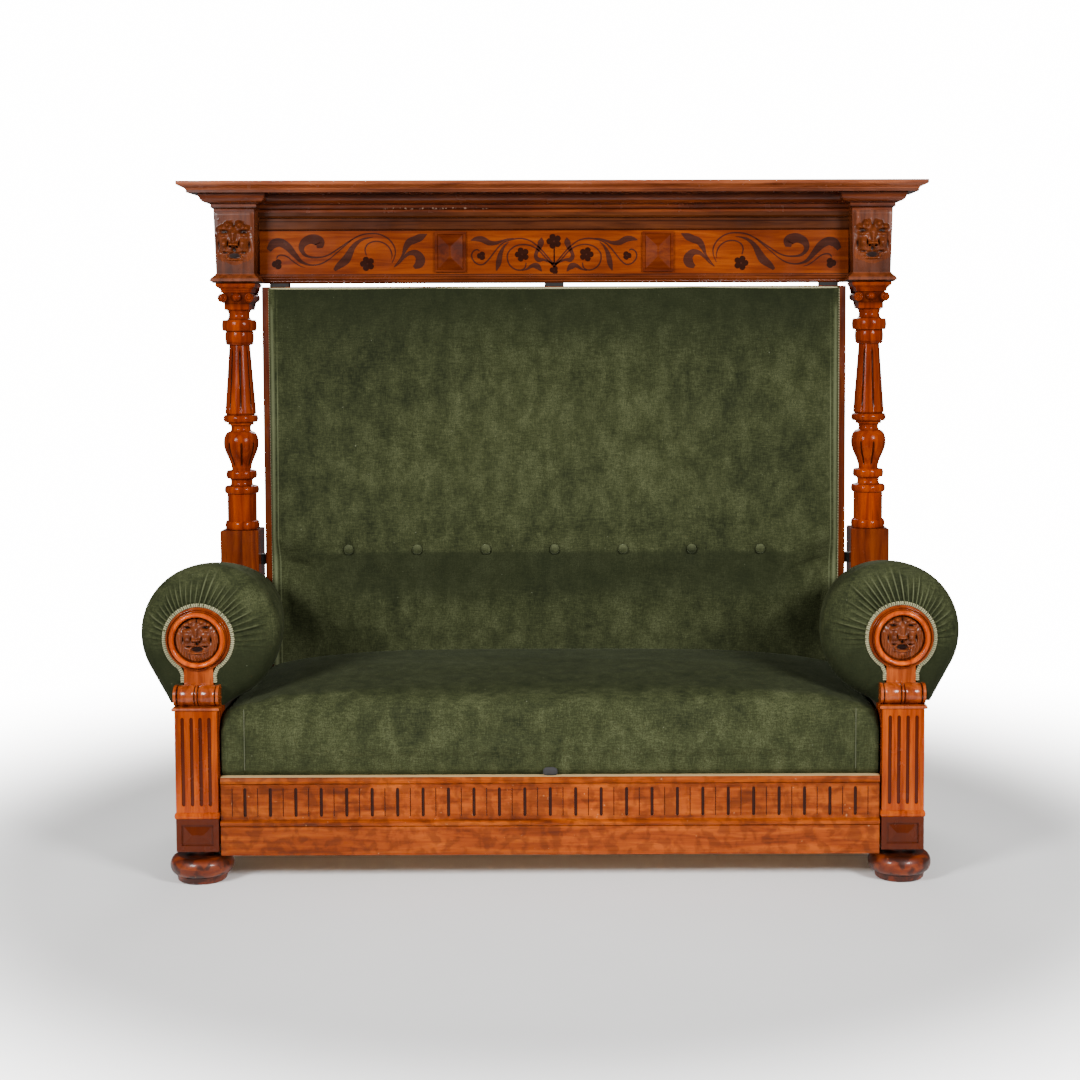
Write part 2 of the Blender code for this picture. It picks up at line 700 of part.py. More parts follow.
def arm_boards_and_sides():
    """Board under each roll, the side rail that carries it and the covered panel outside."""
    front, rear = POST + GAP, REAR_FACE - GAP
    half = POST / 2
    board = box((-half, front, -ARM_BOARD), (half, rear, 0.0))
    add_pair("arm_board", board, BEECH, (POST_X, 0.0, POST_TOP))
    foot = FOOT_HEIGHT
    head = POST_TOP - ARM_BOARD - GAP
    inner = SEAT_OPENING / 2
    middle = inner + SIDE_RAIL / 2
    side = box((-SIDE_RAIL / 2, front, foot), (SIDE_RAIL / 2, rear, head))
    add_pair("side_rail", side, BEECH, (middle, 0.0, 0.0))
    outer = POST - SIDE_RAIL - GAP - 0.006
    panel = box((-outer / 2, front, foot), (outer / 2, rear, head), 0.006)
    add_pair("side_panel", panel, VELVET, (inner + SIDE_RAIL + GAP + outer / 2, 0.0, 0.0))


def rear_posts():
    half = POST / 2
    mesh = box((-half, -half, 0.0), (half, half, REAR_POST_HEIGHT), 0.002)
    add_pair("rear_post", mesh, WALNUT, (POST_X, REAR_Y, 0.0))


def column_elements():
    """Turnings of a column from its base to the neck under the capital."""
    below = [
        ("bulge", 0.0225, 0.0400, 0.0448),
        ("cone", 0.0725, 0.0382, 0.0382),
        ("bulge", 0.0200, 0.0400, 0.0452),
        ("bulge", 0.0200, 0.0340, 0.0280),
        ("bulge", 0.0210, 0.0360, 0.0403),
        ("ogee", 0.0730, 0.0253, 0.0457),
        ("dome", 0.0300, 0.0457, 0.0300),
        ("bulge", 0.0180, 0.0310, 0.0254),
        ("cone", 0.0070, 0.0336, 0.0336),
        ("bulge", 0.0190, 0.0400, 0.0454),
        ("cone", 0.0050, 0.0360, 0.0405),
    ]
    above = [
        ("cone", 0.0060, 0.0316, 0.0374),
        ("bulge", 0.0310, 0.0345, 0.0374),
        ("bulge", 0.0295, 0.0410, 0.0453),
        ("bulge", 0.0260 - GAP, 0.0345, 0.0270),
    ]
    used = sum(height for _, height, _, _ in below + above)
    shaft = [("cone", COLUMN_HEIGHT - GAP - used, 0.0405, 0.0270)]
    return below, shaft, above


def flute_blades(path):
    """Radial blades that cut the flutes along a path of (radius, height) on a turned piece."""
    outline = [(r - FLUTE_DEPTH, z) for r, z in path]
    outline += [(r + 0.010, z) for r, z in reversed(path)]
    bm = bmesh.new()
    upright = moved(plate([outline], FLUTE_WIDTH), FACING_FRONT)
    for k in range(COLUMN_FLUTES):
        blade = upright.copy()
        blade.transform(Matrix.Rotation(2 * math.pi * (k + 0.25) / COLUMN_FLUTES, 4, "Z"))
        bm.from_mesh(blade)
    return mesh_of("blades", bm)


def columns():
    """Turned columns: base, vase and tapered shaft, the last two fluted."""
    below, shaft, above = column_elements()
    mesh = lathe(turnings(below + shaft + above, rounds=4), 16)
    vase_foot = sum(height for _, height, _, _ in below[:5])
    rise = np.linspace(0.16, 1.0, 4)
    vase = [
        (0.0253 + 0.0204 * (1 - math.cos(math.pi * t)) / 2, vase_foot + 0.0730 * t) for t in rise
    ]
    foot = sum(height for _, height, _, _ in below)
    _, length, first, second = shaft[0]
    ends = (0.07, 0.93)
    straight = [(first + (second - first) * t, foot + length * t) for t in ends]
    for path in (vase, straight):
        mesh = cut(mesh, flute_blades(path))
    add_pair("column", mesh, WALNUT, (POST_X, REAR_Y, REAR_POST_HEIGHT + GAP))


def capitals():
    """Ionic capital: square neck, bolsters with volutes, an egg between them and the abacus."""
    rest = CAPITAL_HEIGHT - 2 * GAP - 0.0635
    profile = turnings(
        [
            ("cone", 0.0170, 0.0325, 0.0325),
            ("cone", 0.0280, 0.0360, 0.0360),
            ("cone", 0.0060, 0.0400, 0.0400),
            ("ogee", 0.0125, 0.0405, 0.0510),
            ("cone", rest, 0.0515, 0.0515),
        ],
        rounds=4,
    )
    mesh = square_turned(profile)
    length = POST / 2 + 0.0005
    bolster = turnings(
        [
            ("cone", 0.010, VOLUTE_RADIUS, VOLUTE_RADIUS),
            ("bulge", 2 * length - 0.020, VOLUTE_RADIUS, VOLUTE_RADIUS - 0.003),
            ("cone", 0.010, VOLUTE_RADIUS, VOLUTE_RADIUS),
        ],
        rounds=4,
    )
    band = 0.0170 + 0.0140
    for side in (-1, 1):
        place = Matrix.Translation((side * VOLUTE_OFFSET, length, band)) @ FACING_FRONT
        mesh = join(mesh, moved(lathe(bolster, 12), place))
    mesh = join(mesh, sphere((0.0145, 0.0125, 0.0120), (0.0, -0.0350, band), 10, 6))
    mesh = trimmed_back(mesh, POST / 2)
    add_pair("capital", mesh, WALNUT, (POST_X, REAR_Y, CAPITAL_Z + GAP))


def entablature_blocks():
    """Block over each capital, on a moulding, with a lion mask carved on its front."""
    foot = BLOCK_HALF - BLOCK_TAPER
    body = BLOCK_HEIGHT - BLOCK_MOULDING - 2 * GAP
    profile = turnings(
        [
            ("cone", 0.0040, BLOCK_HALF + 0.0040, BLOCK_HALF + 0.0075),
            ("cone", 0.0060, BLOCK_HALF + 0.0105, BLOCK_HALF + 0.0105),
            ("ogee", BLOCK_MOULDING - 0.0100, BLOCK_HALF + 0.0090, foot + 0.0015),
            ("cone", body, foot, BLOCK_HALF),
        ],
        rounds=4,
    )
    mesh = trimmed_back(square_turned(profile), POST / 2)
    middle = BLOCK_MOULDING + body * 0.50
    mask = lion_mask(foot - 0.002, body * 0.485, BLOCK_LION_DEPTH)
    place = Matrix.Translation((0.0, -foot + 0.001, middle))
    mesh = join(mesh, moved(mask, place))
    add_pair("entablature_block", mesh, WALNUT, (POST_X, REAR_Y, BLOCK_Z + GAP))


def offset_path(path, reach):
    """Plan path moved outward by reach, mitred at its corners; its ends stay on the back plane."""
    points = [Vector(point) for point in path]
    sides = []
    for a, b in zip(points, points[1:]):
        along = (b - a).normalized()
        sides.append(Vector((along.y, -along.x)))
    moved_points = [points[0] + sides[0] * reach]
    for point, before, after in zip(points[1:-1], sides, sides[1:]):
        moved_points.append(point + (before + after) * (reach / (1 + before.dot(after))))
    moved_points.append(points[-1] + sides[-1] * reach)
    return moved_points


def moulded_slab(path, profile):
    """Slab whose front and ends follow a moulding profile of (reach, height) along a plan path."""
    rings = [[(p.x, p.y, z) for p in offset_path(path, reach)] for reach, z in profile]
    return loft(rings)


def cornice():
    """Corona with its cyma, and the bed mould that breaks forward over the blocks."""
    out, inside = POST_X + BLOCK_HALF, POST_X - BLOCK_HALF
    recess = FRIEZE_Y - FRIEZE_CROWN
    broken = [
        (-out, BACK_PLANE),
        (-out, BLOCK_FRONT),
        (-inside, BLOCK_FRONT),
        (-inside, recess),
        (inside, recess),
        (inside, BLOCK_FRONT),
        (out, BLOCK_FRONT),
        (out, BACK_PLANE),
    ]
    reach, height = BED_MOULD_REACH, BED_MOULD_HEIGHT - GAP
    t = np.linspace(0.0, math.pi / 2, 5)
    ovolo = [
        (reach * (0.42 + 0.58 * math.sin(a)), height * (1.0 - 0.52 * math.cos(a))) for a in t[:-1]
    ]
    foot = [(0.0, 0.0), (0.0, 0.14), (0.18, 0.22), (0.18, 0.42)]
    profile = [(reach * r, height * z) for r, z in foot] + ovolo
    mould = moulded_slab(broken, [*profile, (reach, height * 0.93), (reach, height)])
    add("cornice_bed_mould", mould, WALNUT, (0.0, 0.0, CORNICE_Z))
    straight = [(-out, BACK_PLANE), (-out, BLOCK_FRONT), (out, BLOCK_FRONT), (out, BACK_PLANE)]
    low = BED_MOULD_REACH + 0.018
    swing = np.linspace(0.0, 1.0, 6)
    rise = CORONA_HEIGHT - GAP
    cyma = [
        (low + (CORONA_REACH - low) * (1 - math.cos(math.pi * s)) / 2, rise * (0.16 + 0.66 * s))
        for s in swing
    ]
    profile = [(low - 0.002, 0.0), (low - 0.002, rise * 0.14), *cyma, (CORONA_REACH, rise)]
    add("cornice_corona", moulded_slab(straight, profile), WALNUT, (0.0, 0.0, CORONA_Z))


def frieze():
    """Frieze board with its upper mouldings, the lower moulding and two raised pyramids."""
    back = FRIEZE_Y + FRIEZE_THICKNESS
    top = CORNICE_Z - GAP
    crown = FRIEZE_CROWN
    section = [
        (back, FRIEZE_Z),
        (FRIEZE_Y, FRIEZE_Z),
        (FRIEZE_Y, top - 0.0460),
        (FRIEZE_Y - crown * 0.35, top - 0.0450),
        (FRIEZE_Y - crown * 0.50, top - 0.0425),
        (FRIEZE_Y - crown * 0.50, top - 0.0235),
        (FRIEZE_Y - crown * 0.20, top - 0.0225),
        (FRIEZE_Y - crown * 0.20, top - 0.0155),
        (FRIEZE_Y - crown * 0.75, top - 0.0130),
        (FRIEZE_Y - crown, top - 0.0090),
        (FRIEZE_Y - crown, top),
        (back, top),
    ]
    half = POST_X - BLOCK_HALF - GAP
    add("frieze_board", rail(section, half), HONEY)
    low = BLOCK_Z
    head = FRIEZE_Z - GAP
    section = [
        (back, low),
        (FRIEZE_Y - 0.011, low),
        (FRIEZE_Y - 0.015, low + 0.003),
        (FRIEZE_Y - 0.015, low + 0.009),
        (FRIEZE_Y - 0.010, low + 0.011),
        (FRIEZE_Y - 0.007, low + 0.017),
        (FRIEZE_Y - 0.003, low + 0.021),
        (FRIEZE_Y - 0.003, head),
        (back, head),
    ]
    half = POST_X - BLOCK_HALF - 0.0105 - GAP
    add("frieze_bottom_moulding", rail(section, half), WALNUT)
    field = pyramid(
        PYRAMID_WIDTH / 2,
        PYRAMID_HEIGHT / 2,
        [
            (0.0, 0.0),
            (0.0, 0.007),
            (0.006, 0.007),
            (0.008, 0.004),
            (PYRAMID_WIDTH / 2 - 0.002, PYRAMID_DEPTH),
        ],
    )
    middle = FRIEZE_Z + (top - 0.046 - FRIEZE_Z) / 2
    add_pair("frieze_pyramid", field, WALNUT, (PYRAMID_X, FRIEZE_Y - GAP, middle))


def back_frame():
    """Frame of the back, its lining and the cleats that hold it off the posts and the frieze."""
    front, rear = BACK_Y, BACK_Y + BACK_FRAME
    half = BACK_STILE / 2
    stile = box((-half, front, BACK_FOOT), (half, rear, BACK_TOP), 0.002)
    add_pair("back_stile", stile, WALNUT, (BACK_HALF - half, 0.0, 0.0))
    inner = BACK_HALF - BACK_STILE - GAP
    top = box((-inner, front, BACK_TOP - BACK_STILE), (inner, rear, BACK_TOP), 0.002)
    add("back_top_rail", top, WALNUT)
    bottom = box((-inner, front, BACK_FOOT), (inner, rear, BACK_FOOT + BACK_STILE), 0.002)
    add("back_bottom_rail", bottom, BEECH)
    lining = box((-BACK_HALF, rear + GAP, BACK_FOOT), (BACK_HALF, rear + GAP + LINING, BACK_TOP))
    add("back_lining", lining, LINEN)
    cleat = box(
        (-CLEAT_WIDTH / 2, front + 0.010, BACK_TOP + GAP),
        (CLEAT_WIDTH / 2, rear, BLOCK_Z - GAP),
    )
    spread = BACK_HALF - CLEAT_INSET
    for name, x in (("left", -spread), ("middle", 0.0), ("right", spread)):
        add(f"back_top_cleat_{name}", cleat.copy(), IRON, (x, 0.0, 0.0))
    width = BACK_MARGIN - 2 * GAP
    level = REAR_POST_HEIGHT - 0.080
    cleat = box(
        (-width / 2, front + 0.006, level - SIDE_CLEAT / 2),
        (width / 2, rear - 0.004, level + SIDE_CLEAT / 2),
    )
    add_pair("back_side_cleat", cleat, IRON, (BACK_HALF + BACK_MARGIN / 2, 0.0, 0.0))


def back_cushion():
    """Velvet back: fullest at its button line, drawn in along its edges, with sewn buttons."""
    half = BACK_HALF - BACK_REVEAL
    foot = BACK_FOOT + 0.014
    head = BACK_TOP - 0.002
    ridge = POST_TOP + BUTTON_Z
    start = FACING_Y + ARM_SHOULDER
    arm = roll_radius((BACK_Y - BACK_RIDGE - start) / (REAR_FACE - start))
    arm_top = ARM_Z + ARM_RAISE + arm
    behind = SEAT_TOP + 0.010
    heights = [foot, foot + 0.012, behind, behind + 0.06, ridge - 0.07, ridge - 0.025, ridge]
    fill = [0.020, 0.036, 0.044, 0.058, 0.066, 0.075, BACK_RIDGE]
    upper = np.array([0.03, 0.08, 0.20, 0.40, 0.60, 0.80, 0.93, 0.985, 1.0])
    heights += list(ridge + (head - ridge) * upper)
    fill += [BACK_RIDGE, 0.082, 0.072, 0.060, 0.050, 0.044, 0.040, 0.032, 0.016]
    heights, fill = np.array(heights), np.array(fill)
    step = BUTTON_PITCH / 4
    reach = int(half / step)
    stations = np.arange(-reach, reach + 1) * step
    stations = np.concatenate([[-half, -half + 0.010], stations, [half - 0.010, half]])
    stations = stations[np.concatenate([[True], np.diff(stations) > 0.004])]
    buttons = (np.arange(BUTTON_COUNT) - (BUTTON_COUNT - 1) / 2) * BUTTON_PITCH
    tight = POST_X - ARM_INSET - arm - 0.004
    rings = []
    for x in stations:
        wide = max(0.0, 1 - (abs(x) / half) ** 10) ** 0.5
        snug = np.clip((tight - abs(x)) / 0.10, 0.0, 1.0)
        snug = snug * snug * (3 - 2 * snug)
        share = np.clip((heights - arm_top) / 0.012, 0.0, 1.0)
        full = snug + (wide - snug) * share
        border = np.minimum(fill, BACK_BORDER)
        thick = border + (fill - border) * full
        near = np.min(np.abs(x - buttons))
        tuft = 0.010 * math.exp(-((near / 0.022) ** 2)) * np.exp(-(((heights - ridge) / 0.022) ** 2))
        y = BACK_Y - GAP - (thick - tuft)
        ring = [(x, float(b), float(c)) for b, c in zip(y, heights)]
        ring += [(x, BACK_Y - GAP, float(heights[-1])), (x, BACK_Y - GAP, float(heights[0]))]
        rings.append(ring)
    mesh = loft(rings)
    seat = BACK_Y - GAP - BACK_RIDGE + 0.010
    domed = [
        ("cone", 0.006, BUTTON_RADIUS - 0.002, BUTTON_RADIUS),
        ("dome", 0.005, BUTTON_RADIUS, 0.002),
    ]
    button = moved(lathe(turnings(domed, 3), 12), FACING_FRONT @ Matrix.Rotation(0.13, 4, "Z"))
    for x in buttons:
        place = Matrix.Translation((x, seat + 0.005, ridge))
        mesh = join(mesh, moved(button.copy(), place))
    add("back_cushion", mesh, VELVET)


def rear_rail_and_runners():
    """Rail between the rear posts and the runners that the drawer slides on."""
    half = SEAT_OPENING / 2 - GAP
    front = REAR_FACE + 0.020
    low = BOX_Z - RUNNER_HEIGHT
    rail_top = POST_TOP - REAR_RAIL_DROP
    add("rear_rail", box((-half, front, low), (half, front + 0.026, rail_top), 0.002), BEECH)
    runner = box(
        (-RUNNER_WIDTH / 2, DRAWER_INNER + 0.003, low),
        (RUNNER_WIDTH / 2, front - GAP, BOX_Z - GAP),
    )
    add_pair("drawer_runner", runner, BEECH, (half - RUNNER_WIDTH / 2, 0.0, 0.0))


def drawer_front():
    """Moulded drawer front: plain board, bead, fluted band and rounded crown."""
    face, back = DRAWER_SET_BACK, DRAWER_INNER
    bead_z = DRAWER_LIFT + DRAWER_BOARD
    band_z = bead_z + DRAWER_BEAD
    crown_z = DRAWER_TOP - DRAWER_CROWN
    sunk = face + 0.004
    turn = [math.pi * k / 6 for k in range(7)]
    bead = [
        (face + 0.001 - 0.007 * math.sin(a), bead_z + DRAWER_BEAD * (1 - math.cos(a)) / 2) for a in turn
    ]
    crown = [
        (
            sunk - 0.006 + 0.006 * (1 - math.cos(math.pi / 2 * k / 4)),
            crown_z + 0.004 + (DRAWER_CROWN - 0.004) * math.sin(math.pi / 2 * k / 4),
        )
        for k in range(5)
    ]
    section = [(back, DRAWER_LIFT), (face, DRAWER_LIFT), (face, bead_z - 0.001), *bead]
    section += [(sunk, band_z + 0.001), (sunk, crown_z), *crown, (back, DRAWER_TOP)]
    mesh = rail(section, SEAT_HALF)
    count = 2 * int((SEAT_HALF - GROOVE_PITCH / 2) / GROOVE_PITCH) + 1
    middle = (band_z + crown_z) / 2
    height = min(GROOVE_HEIGHT, crown_z - band_z - 0.006)
    places = [(k - (count - 1) / 2) * GROOVE_PITCH for k in range(count)]
    grooves = [slot(x, middle, GROOVE_WIDTH, height, 3) for x in places]
    mesh = cut(mesh, front_plate(grooves, sunk - 0.004, sunk + GROOVE_DEPTH))
    scores = [x - GROOVE_PITCH / 2 for x in places] + [places[-1] + GROOVE_PITCH / 2]
    lines = [slot(x, middle, SCORE_WIDTH, height, 1) for x in scores if abs(x) < SEAT_HALF - 0.004]
    mesh = cut(mesh, front_plate(lines, sunk - 0.004, sunk + SCORE_DEPTH))
    pin = lathe([(TURN_PIN + GAP, 0.0), (TURN_PIN + GAP, TURN_PIN_DEPTH + 0.010)], 16)
    for side in (-1, 1):
        place = Matrix.Translation((side * TURN_FOOT_X, back + 0.010, PIVOT_Z)) @ FACING_FRONT
        mesh = cut(mesh, moved(pin.copy(), place))
    add("drawer_front", mesh, WALNUT, parent=DRAWER)


def drawer_box():
    """Box behind the front: two sides, a back and a bottom board."""
    front, rear = DRAWER_INNER + GAP, SEAT_REAR
    top = BOX_Z + DRAWER_SIDE_HEIGHT
    for name, side in (("left", -1), ("right", 1)):
        low, high = sorted((side * SEAT_HALF, side * (SEAT_HALF - DRAWER_SIDE)))
        board = box((low, front, BOX_Z), (high, rear, top), 0.0015)
        add(f"drawer_side_{name}", board, BEECH, parent=DRAWER)
    inner = SEAT_HALF - DRAWER_SIDE - GAP
    back = box((-inner, rear - DRAWER_SIDE, BOX_Z), (inner, rear, top), 0.0015)
    add("drawer_back", back, BEECH, parent=DRAWER)
    bottom = box((-inner, front, BOX_Z), (inner, rear - DRAWER_SIDE - GAP, BOX_Z + DRAWER_BOTTOM))
    add("drawer_bottom", bottom, BEECH, parent=DRAWER)


def seat_frame():
    """Four rails of the seat and the webbing let in between them."""
    front, rear = DRAWER_INNER + GAP, SEAT_REAR
    low, high = SEAT_FRAME_Z, SEAT_FRAME_Z + SEAT_RAIL_HEIGHT
    near = box((-SEAT_HALF, front, low), (SEAT_HALF, front + SEAT_RAIL, high), 0.0015)
    add("seat_rail_front", near, BEECH, parent=DRAWER)
    far = box((-SEAT_HALF, rear - SEAT_RAIL, low), (SEAT_HALF, rear, high), 0.0015)
    add("seat_rail_rear", far, BEECH, parent=DRAWER)
    start, end = front + SEAT_RAIL + GAP, rear - SEAT_RAIL - GAP
    for name, side in (("left", -1), ("right", 1)):
        a, b = sorted((side * SEAT_HALF, side * (SEAT_HALF - SEAT_RAIL)))
        add(f"seat_rail_{name}", box((a, start, low), (b, end, high), 0.0015), BEECH, parent=DRAWER)
    half = SEAT_HALF - SEAT_RAIL - GAP
    level = low + 0.004
    depth = end - start
    across = 2
    step = depth / (across + 1)
    mesh = None
    for k in range(across):
        y = start + (k + 1) * step
        strap = box(
            (-half, y - STRAP_WIDTH / 2, level),
            (half, y + STRAP_WIDTH / 2, level + STRAP_THICKNESS),
        )
        mesh = strap if mesh is None else join(mesh, strap)
    along = 7
    bm = bmesh.new()
    for k in range(along):
        x = -half + (k + 0.5) * 2 * half / along
        lower = (x - STRAP_WIDTH / 2, start, level + STRAP_THICKNESS / 2)
        upper = (x + STRAP_WIDTH / 2, end, level + STRAP_THICKNESS * 1.5)
        bm.from_mesh(box(lower, upper))
    straps = mesh_of("straps", bm)
    add("seat_webbing", join(mesh, straps), JUTE, parent=DRAWER)


def seat_cushion():
    """Velvet seat: upright front with a rounded nose, a crown, and sides that slip under the arms."""
    face = DRAWER_SET_BACK + SEAT_REVEAL
    rear = SEAT_REAR
    side_top = POST_TOP - SEAT_SIDE_DROP
    front_top = POST_TOP + SEAT_FRONT_RISE
    rear_top = SEAT_TOP
    base = SEAT_Z
    lip = max(DRAWER_TOP, base) + 0.003
    half = SEAT_HALF - 0.001
    stations = half * np.sin(np.pi / 2 * np.linspace(-1.0, 1.0, 27))
    rings = []
    for x in stations:
        lift = max(0.0, 1 - (abs(x) / half) ** 4) ** 0.5
        front = side_top + (front_top - side_top) * lift
        back = side_top + (rear_top - side_top) * lift
        tuck = DRAWER_INNER + 0.0025
        section = [(tuck + 0.004, base), (tuck, lip), (face + 0.001, lip + 0.006)]
        belly = face - 0.002
        section += [(belly, lip + 0.35 * (front - SEAT_NOSE - lip)), (belly, front - SEAT_NOSE)]
        for a in np.linspace(0.0, math.pi / 2, 6)[1:]:
            section.append(
                (belly + SEAT_NOSE * (1 - math.cos(a)), front - SEAT_NOSE * (1 - math.sin(a)))
            )
        near, far = belly + SEAT_NOSE, rear - 0.030
        for s in np.linspace(0.0, 1.0, 8)[1:]:
            crown = SEAT_CROWN * lift * math.sin(math.pi * s)
            section.append((near + (far - near) * s, front + (back - front) * s + crown))
        for a in np.linspace(0.0, math.pi / 2, 4)[1:]:
            section.append((far + 0.030 * math.sin(a), back - 0.030 * (1 - math.cos(a))))
        section += [(rear, lip + 0.010), (rear - 0.004, base)]
        rings.append([(float(x), float(y), float(z)) for y, z in section])
    add("seat_cushion", loft(rings), VELVET, parent=DRAWER)


def seat_pull():
    """Leather tongue at the middle of the seat's front edge."""
    w, h = PULL_WIDTH / 2, PULL_HEIGHT
    turn = [math.pi * k / 8 for k in range(9)]
    rounded = [(w * math.cos(a), h * 0.55 + h * 0.45 * math.sin(a)) for a in turn]
    outline = [(-w, 0.0), (w, 0.0), *rounded]
    front = DRAWER_SET_BACK + SEAT_REVEAL - 0.002 - GAP - PULL_THICKNESS
    mesh = front_plate([outline], front, front + PULL_THICKNESS)
    add("seat_pull", mesh, LEATHER, (0.0, 0.0, DRAWER_TOP + GAP), DRAWER)


def turn_feet():
    """Feet that turn down on a pin behind the drawer front, to carry the drawn-out drawer."""
    r = TURN_FOOT / 2
    length = PIVOT_Z - TURN_FOOT_LIFT
    turn = [math.pi / 2 + math.pi * k / 8 for k in range(9)]
    outline = [(r * math.cos(a), r * math.sin(a)) for a in turn]
    outline += [(length, -r), (length, r)]
    front = DRAWER_INNER + 0.003
    for name, side in (("left", -1), ("right", 1)):
        shape = [(-side * x, z) for x, z in outline]
        if side > 0:
            shape.reverse()
        block = front_plate([shape], front, front + TURN_FOOT)
        pin = lathe([(TURN_PIN, 0.0), (TURN_PIN, TURN_PIN_DEPTH + 0.013)], 16)
        place = Matrix.Translation((0.0, front + 0.010, 0.0)) @ FACING_FRONT
        mesh = join(block, moved(pin, place))
        moved(mesh, Matrix.Translation((0.0, -front, 0.0)))
        pivot = (side * TURN_FOOT_X, front, PIVOT_Z)
        add(f"turn_foot_{name}", mesh, BEECH, pivot, DRAWER)


def main():
    front_feet()
    front_posts()
    front_scrolls()
    arm_facings()
    arm_medallions()
    arm_rolls()
    arm_boards_and_sides()
    rear_posts()
    columns()
    capitals()
    entablature_blocks()
    cornice()
    frieze()
    back_frame()
    back_cushion()
    rear_rail_and_runners()
    drawer_front()
    drawer_box()
    seat_frame()
    seat_cushion()
    seat_pull()
    turn_feet()


main()
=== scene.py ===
"""Looks of a carved, high-backed sofa bed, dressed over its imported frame.

Lengths are metres in the frame's own axes: X runs across the sofa, Y from the sitter's side to the
back and Z up from the floor. Turned, moulded, carved and upholstered pieces are surfaces worked out
with numpy; plain boards stay as the frame has them and get their finish here.
"""

from __future__ import annotations

import logging
import math
from dataclasses import dataclass, field, replace
from enum import Enum
from typing import Sequence

import bmesh
import bpy
import numpy as np
from mathutils import Matrix, Vector

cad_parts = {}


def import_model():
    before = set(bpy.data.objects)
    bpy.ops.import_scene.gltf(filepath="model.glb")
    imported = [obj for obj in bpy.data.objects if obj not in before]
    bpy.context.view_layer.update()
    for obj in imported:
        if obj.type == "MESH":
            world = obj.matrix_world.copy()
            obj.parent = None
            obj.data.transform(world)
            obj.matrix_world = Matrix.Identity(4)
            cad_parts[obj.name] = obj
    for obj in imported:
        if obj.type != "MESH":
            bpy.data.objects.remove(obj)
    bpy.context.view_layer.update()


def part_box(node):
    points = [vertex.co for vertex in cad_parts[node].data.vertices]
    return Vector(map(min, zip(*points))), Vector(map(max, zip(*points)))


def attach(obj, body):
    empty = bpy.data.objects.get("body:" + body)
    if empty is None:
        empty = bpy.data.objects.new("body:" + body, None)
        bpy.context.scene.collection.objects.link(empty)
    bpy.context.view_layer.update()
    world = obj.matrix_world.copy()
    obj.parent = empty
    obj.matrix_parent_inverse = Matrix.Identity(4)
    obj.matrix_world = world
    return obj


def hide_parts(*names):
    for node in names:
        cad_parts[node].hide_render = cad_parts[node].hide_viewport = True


Array = np.ndarray
Colour = tuple[float, float, float]
Point = tuple[float, float, float]
Socket = bpy.types.NodeSocket
Material = bpy.types.Material
Piece = bpy.types.Object
LOG = logging.getLogger("sofa_bed")
FRONT = -0.32275  # Y of the front posts' faces
WELD = 2e-6  # points nearer than this become one
POST_X = 0.831  # distance of the posts' and columns' axes from the centre line


class Side(Enum):
    """Which end of the sofa a piece belongs to, as the viewer sees it."""

    LEFT = -1
    RIGHT = 1

    @property
    def tag(self) -> str:
        """Ending of the names of this side's pieces."""
        return self.name.lower()


class Body(Enum):
    """Rigid bodies of the frame that pieces ride on."""

    FRAME = "frame"
    DRAWER = "bed_drawer"


class Grain(Enum):
    """Direction that the wood's fibres run in, as the stretch of its figure."""

    ALONG_X = (1.0, 12.0, 12.0)
    ALONG_Y = (12.0, 1.0, 12.0)
    ALONG_Z = (12.0, 12.0, 1.0)


class Wrap(Enum):
    """Whether a grid's rows and its columns close up into a ring."""

    OPEN = (False, False)
    COLUMNS = (False, True)
    ROWS = (True, False)


class Turning(Enum):
    """Shapes that follow each other up a turned profile."""

    CONE = "cone"
    BULGE = "bulge"
    OGEE = "ogee"
    DOME = "dome"


# Finishes


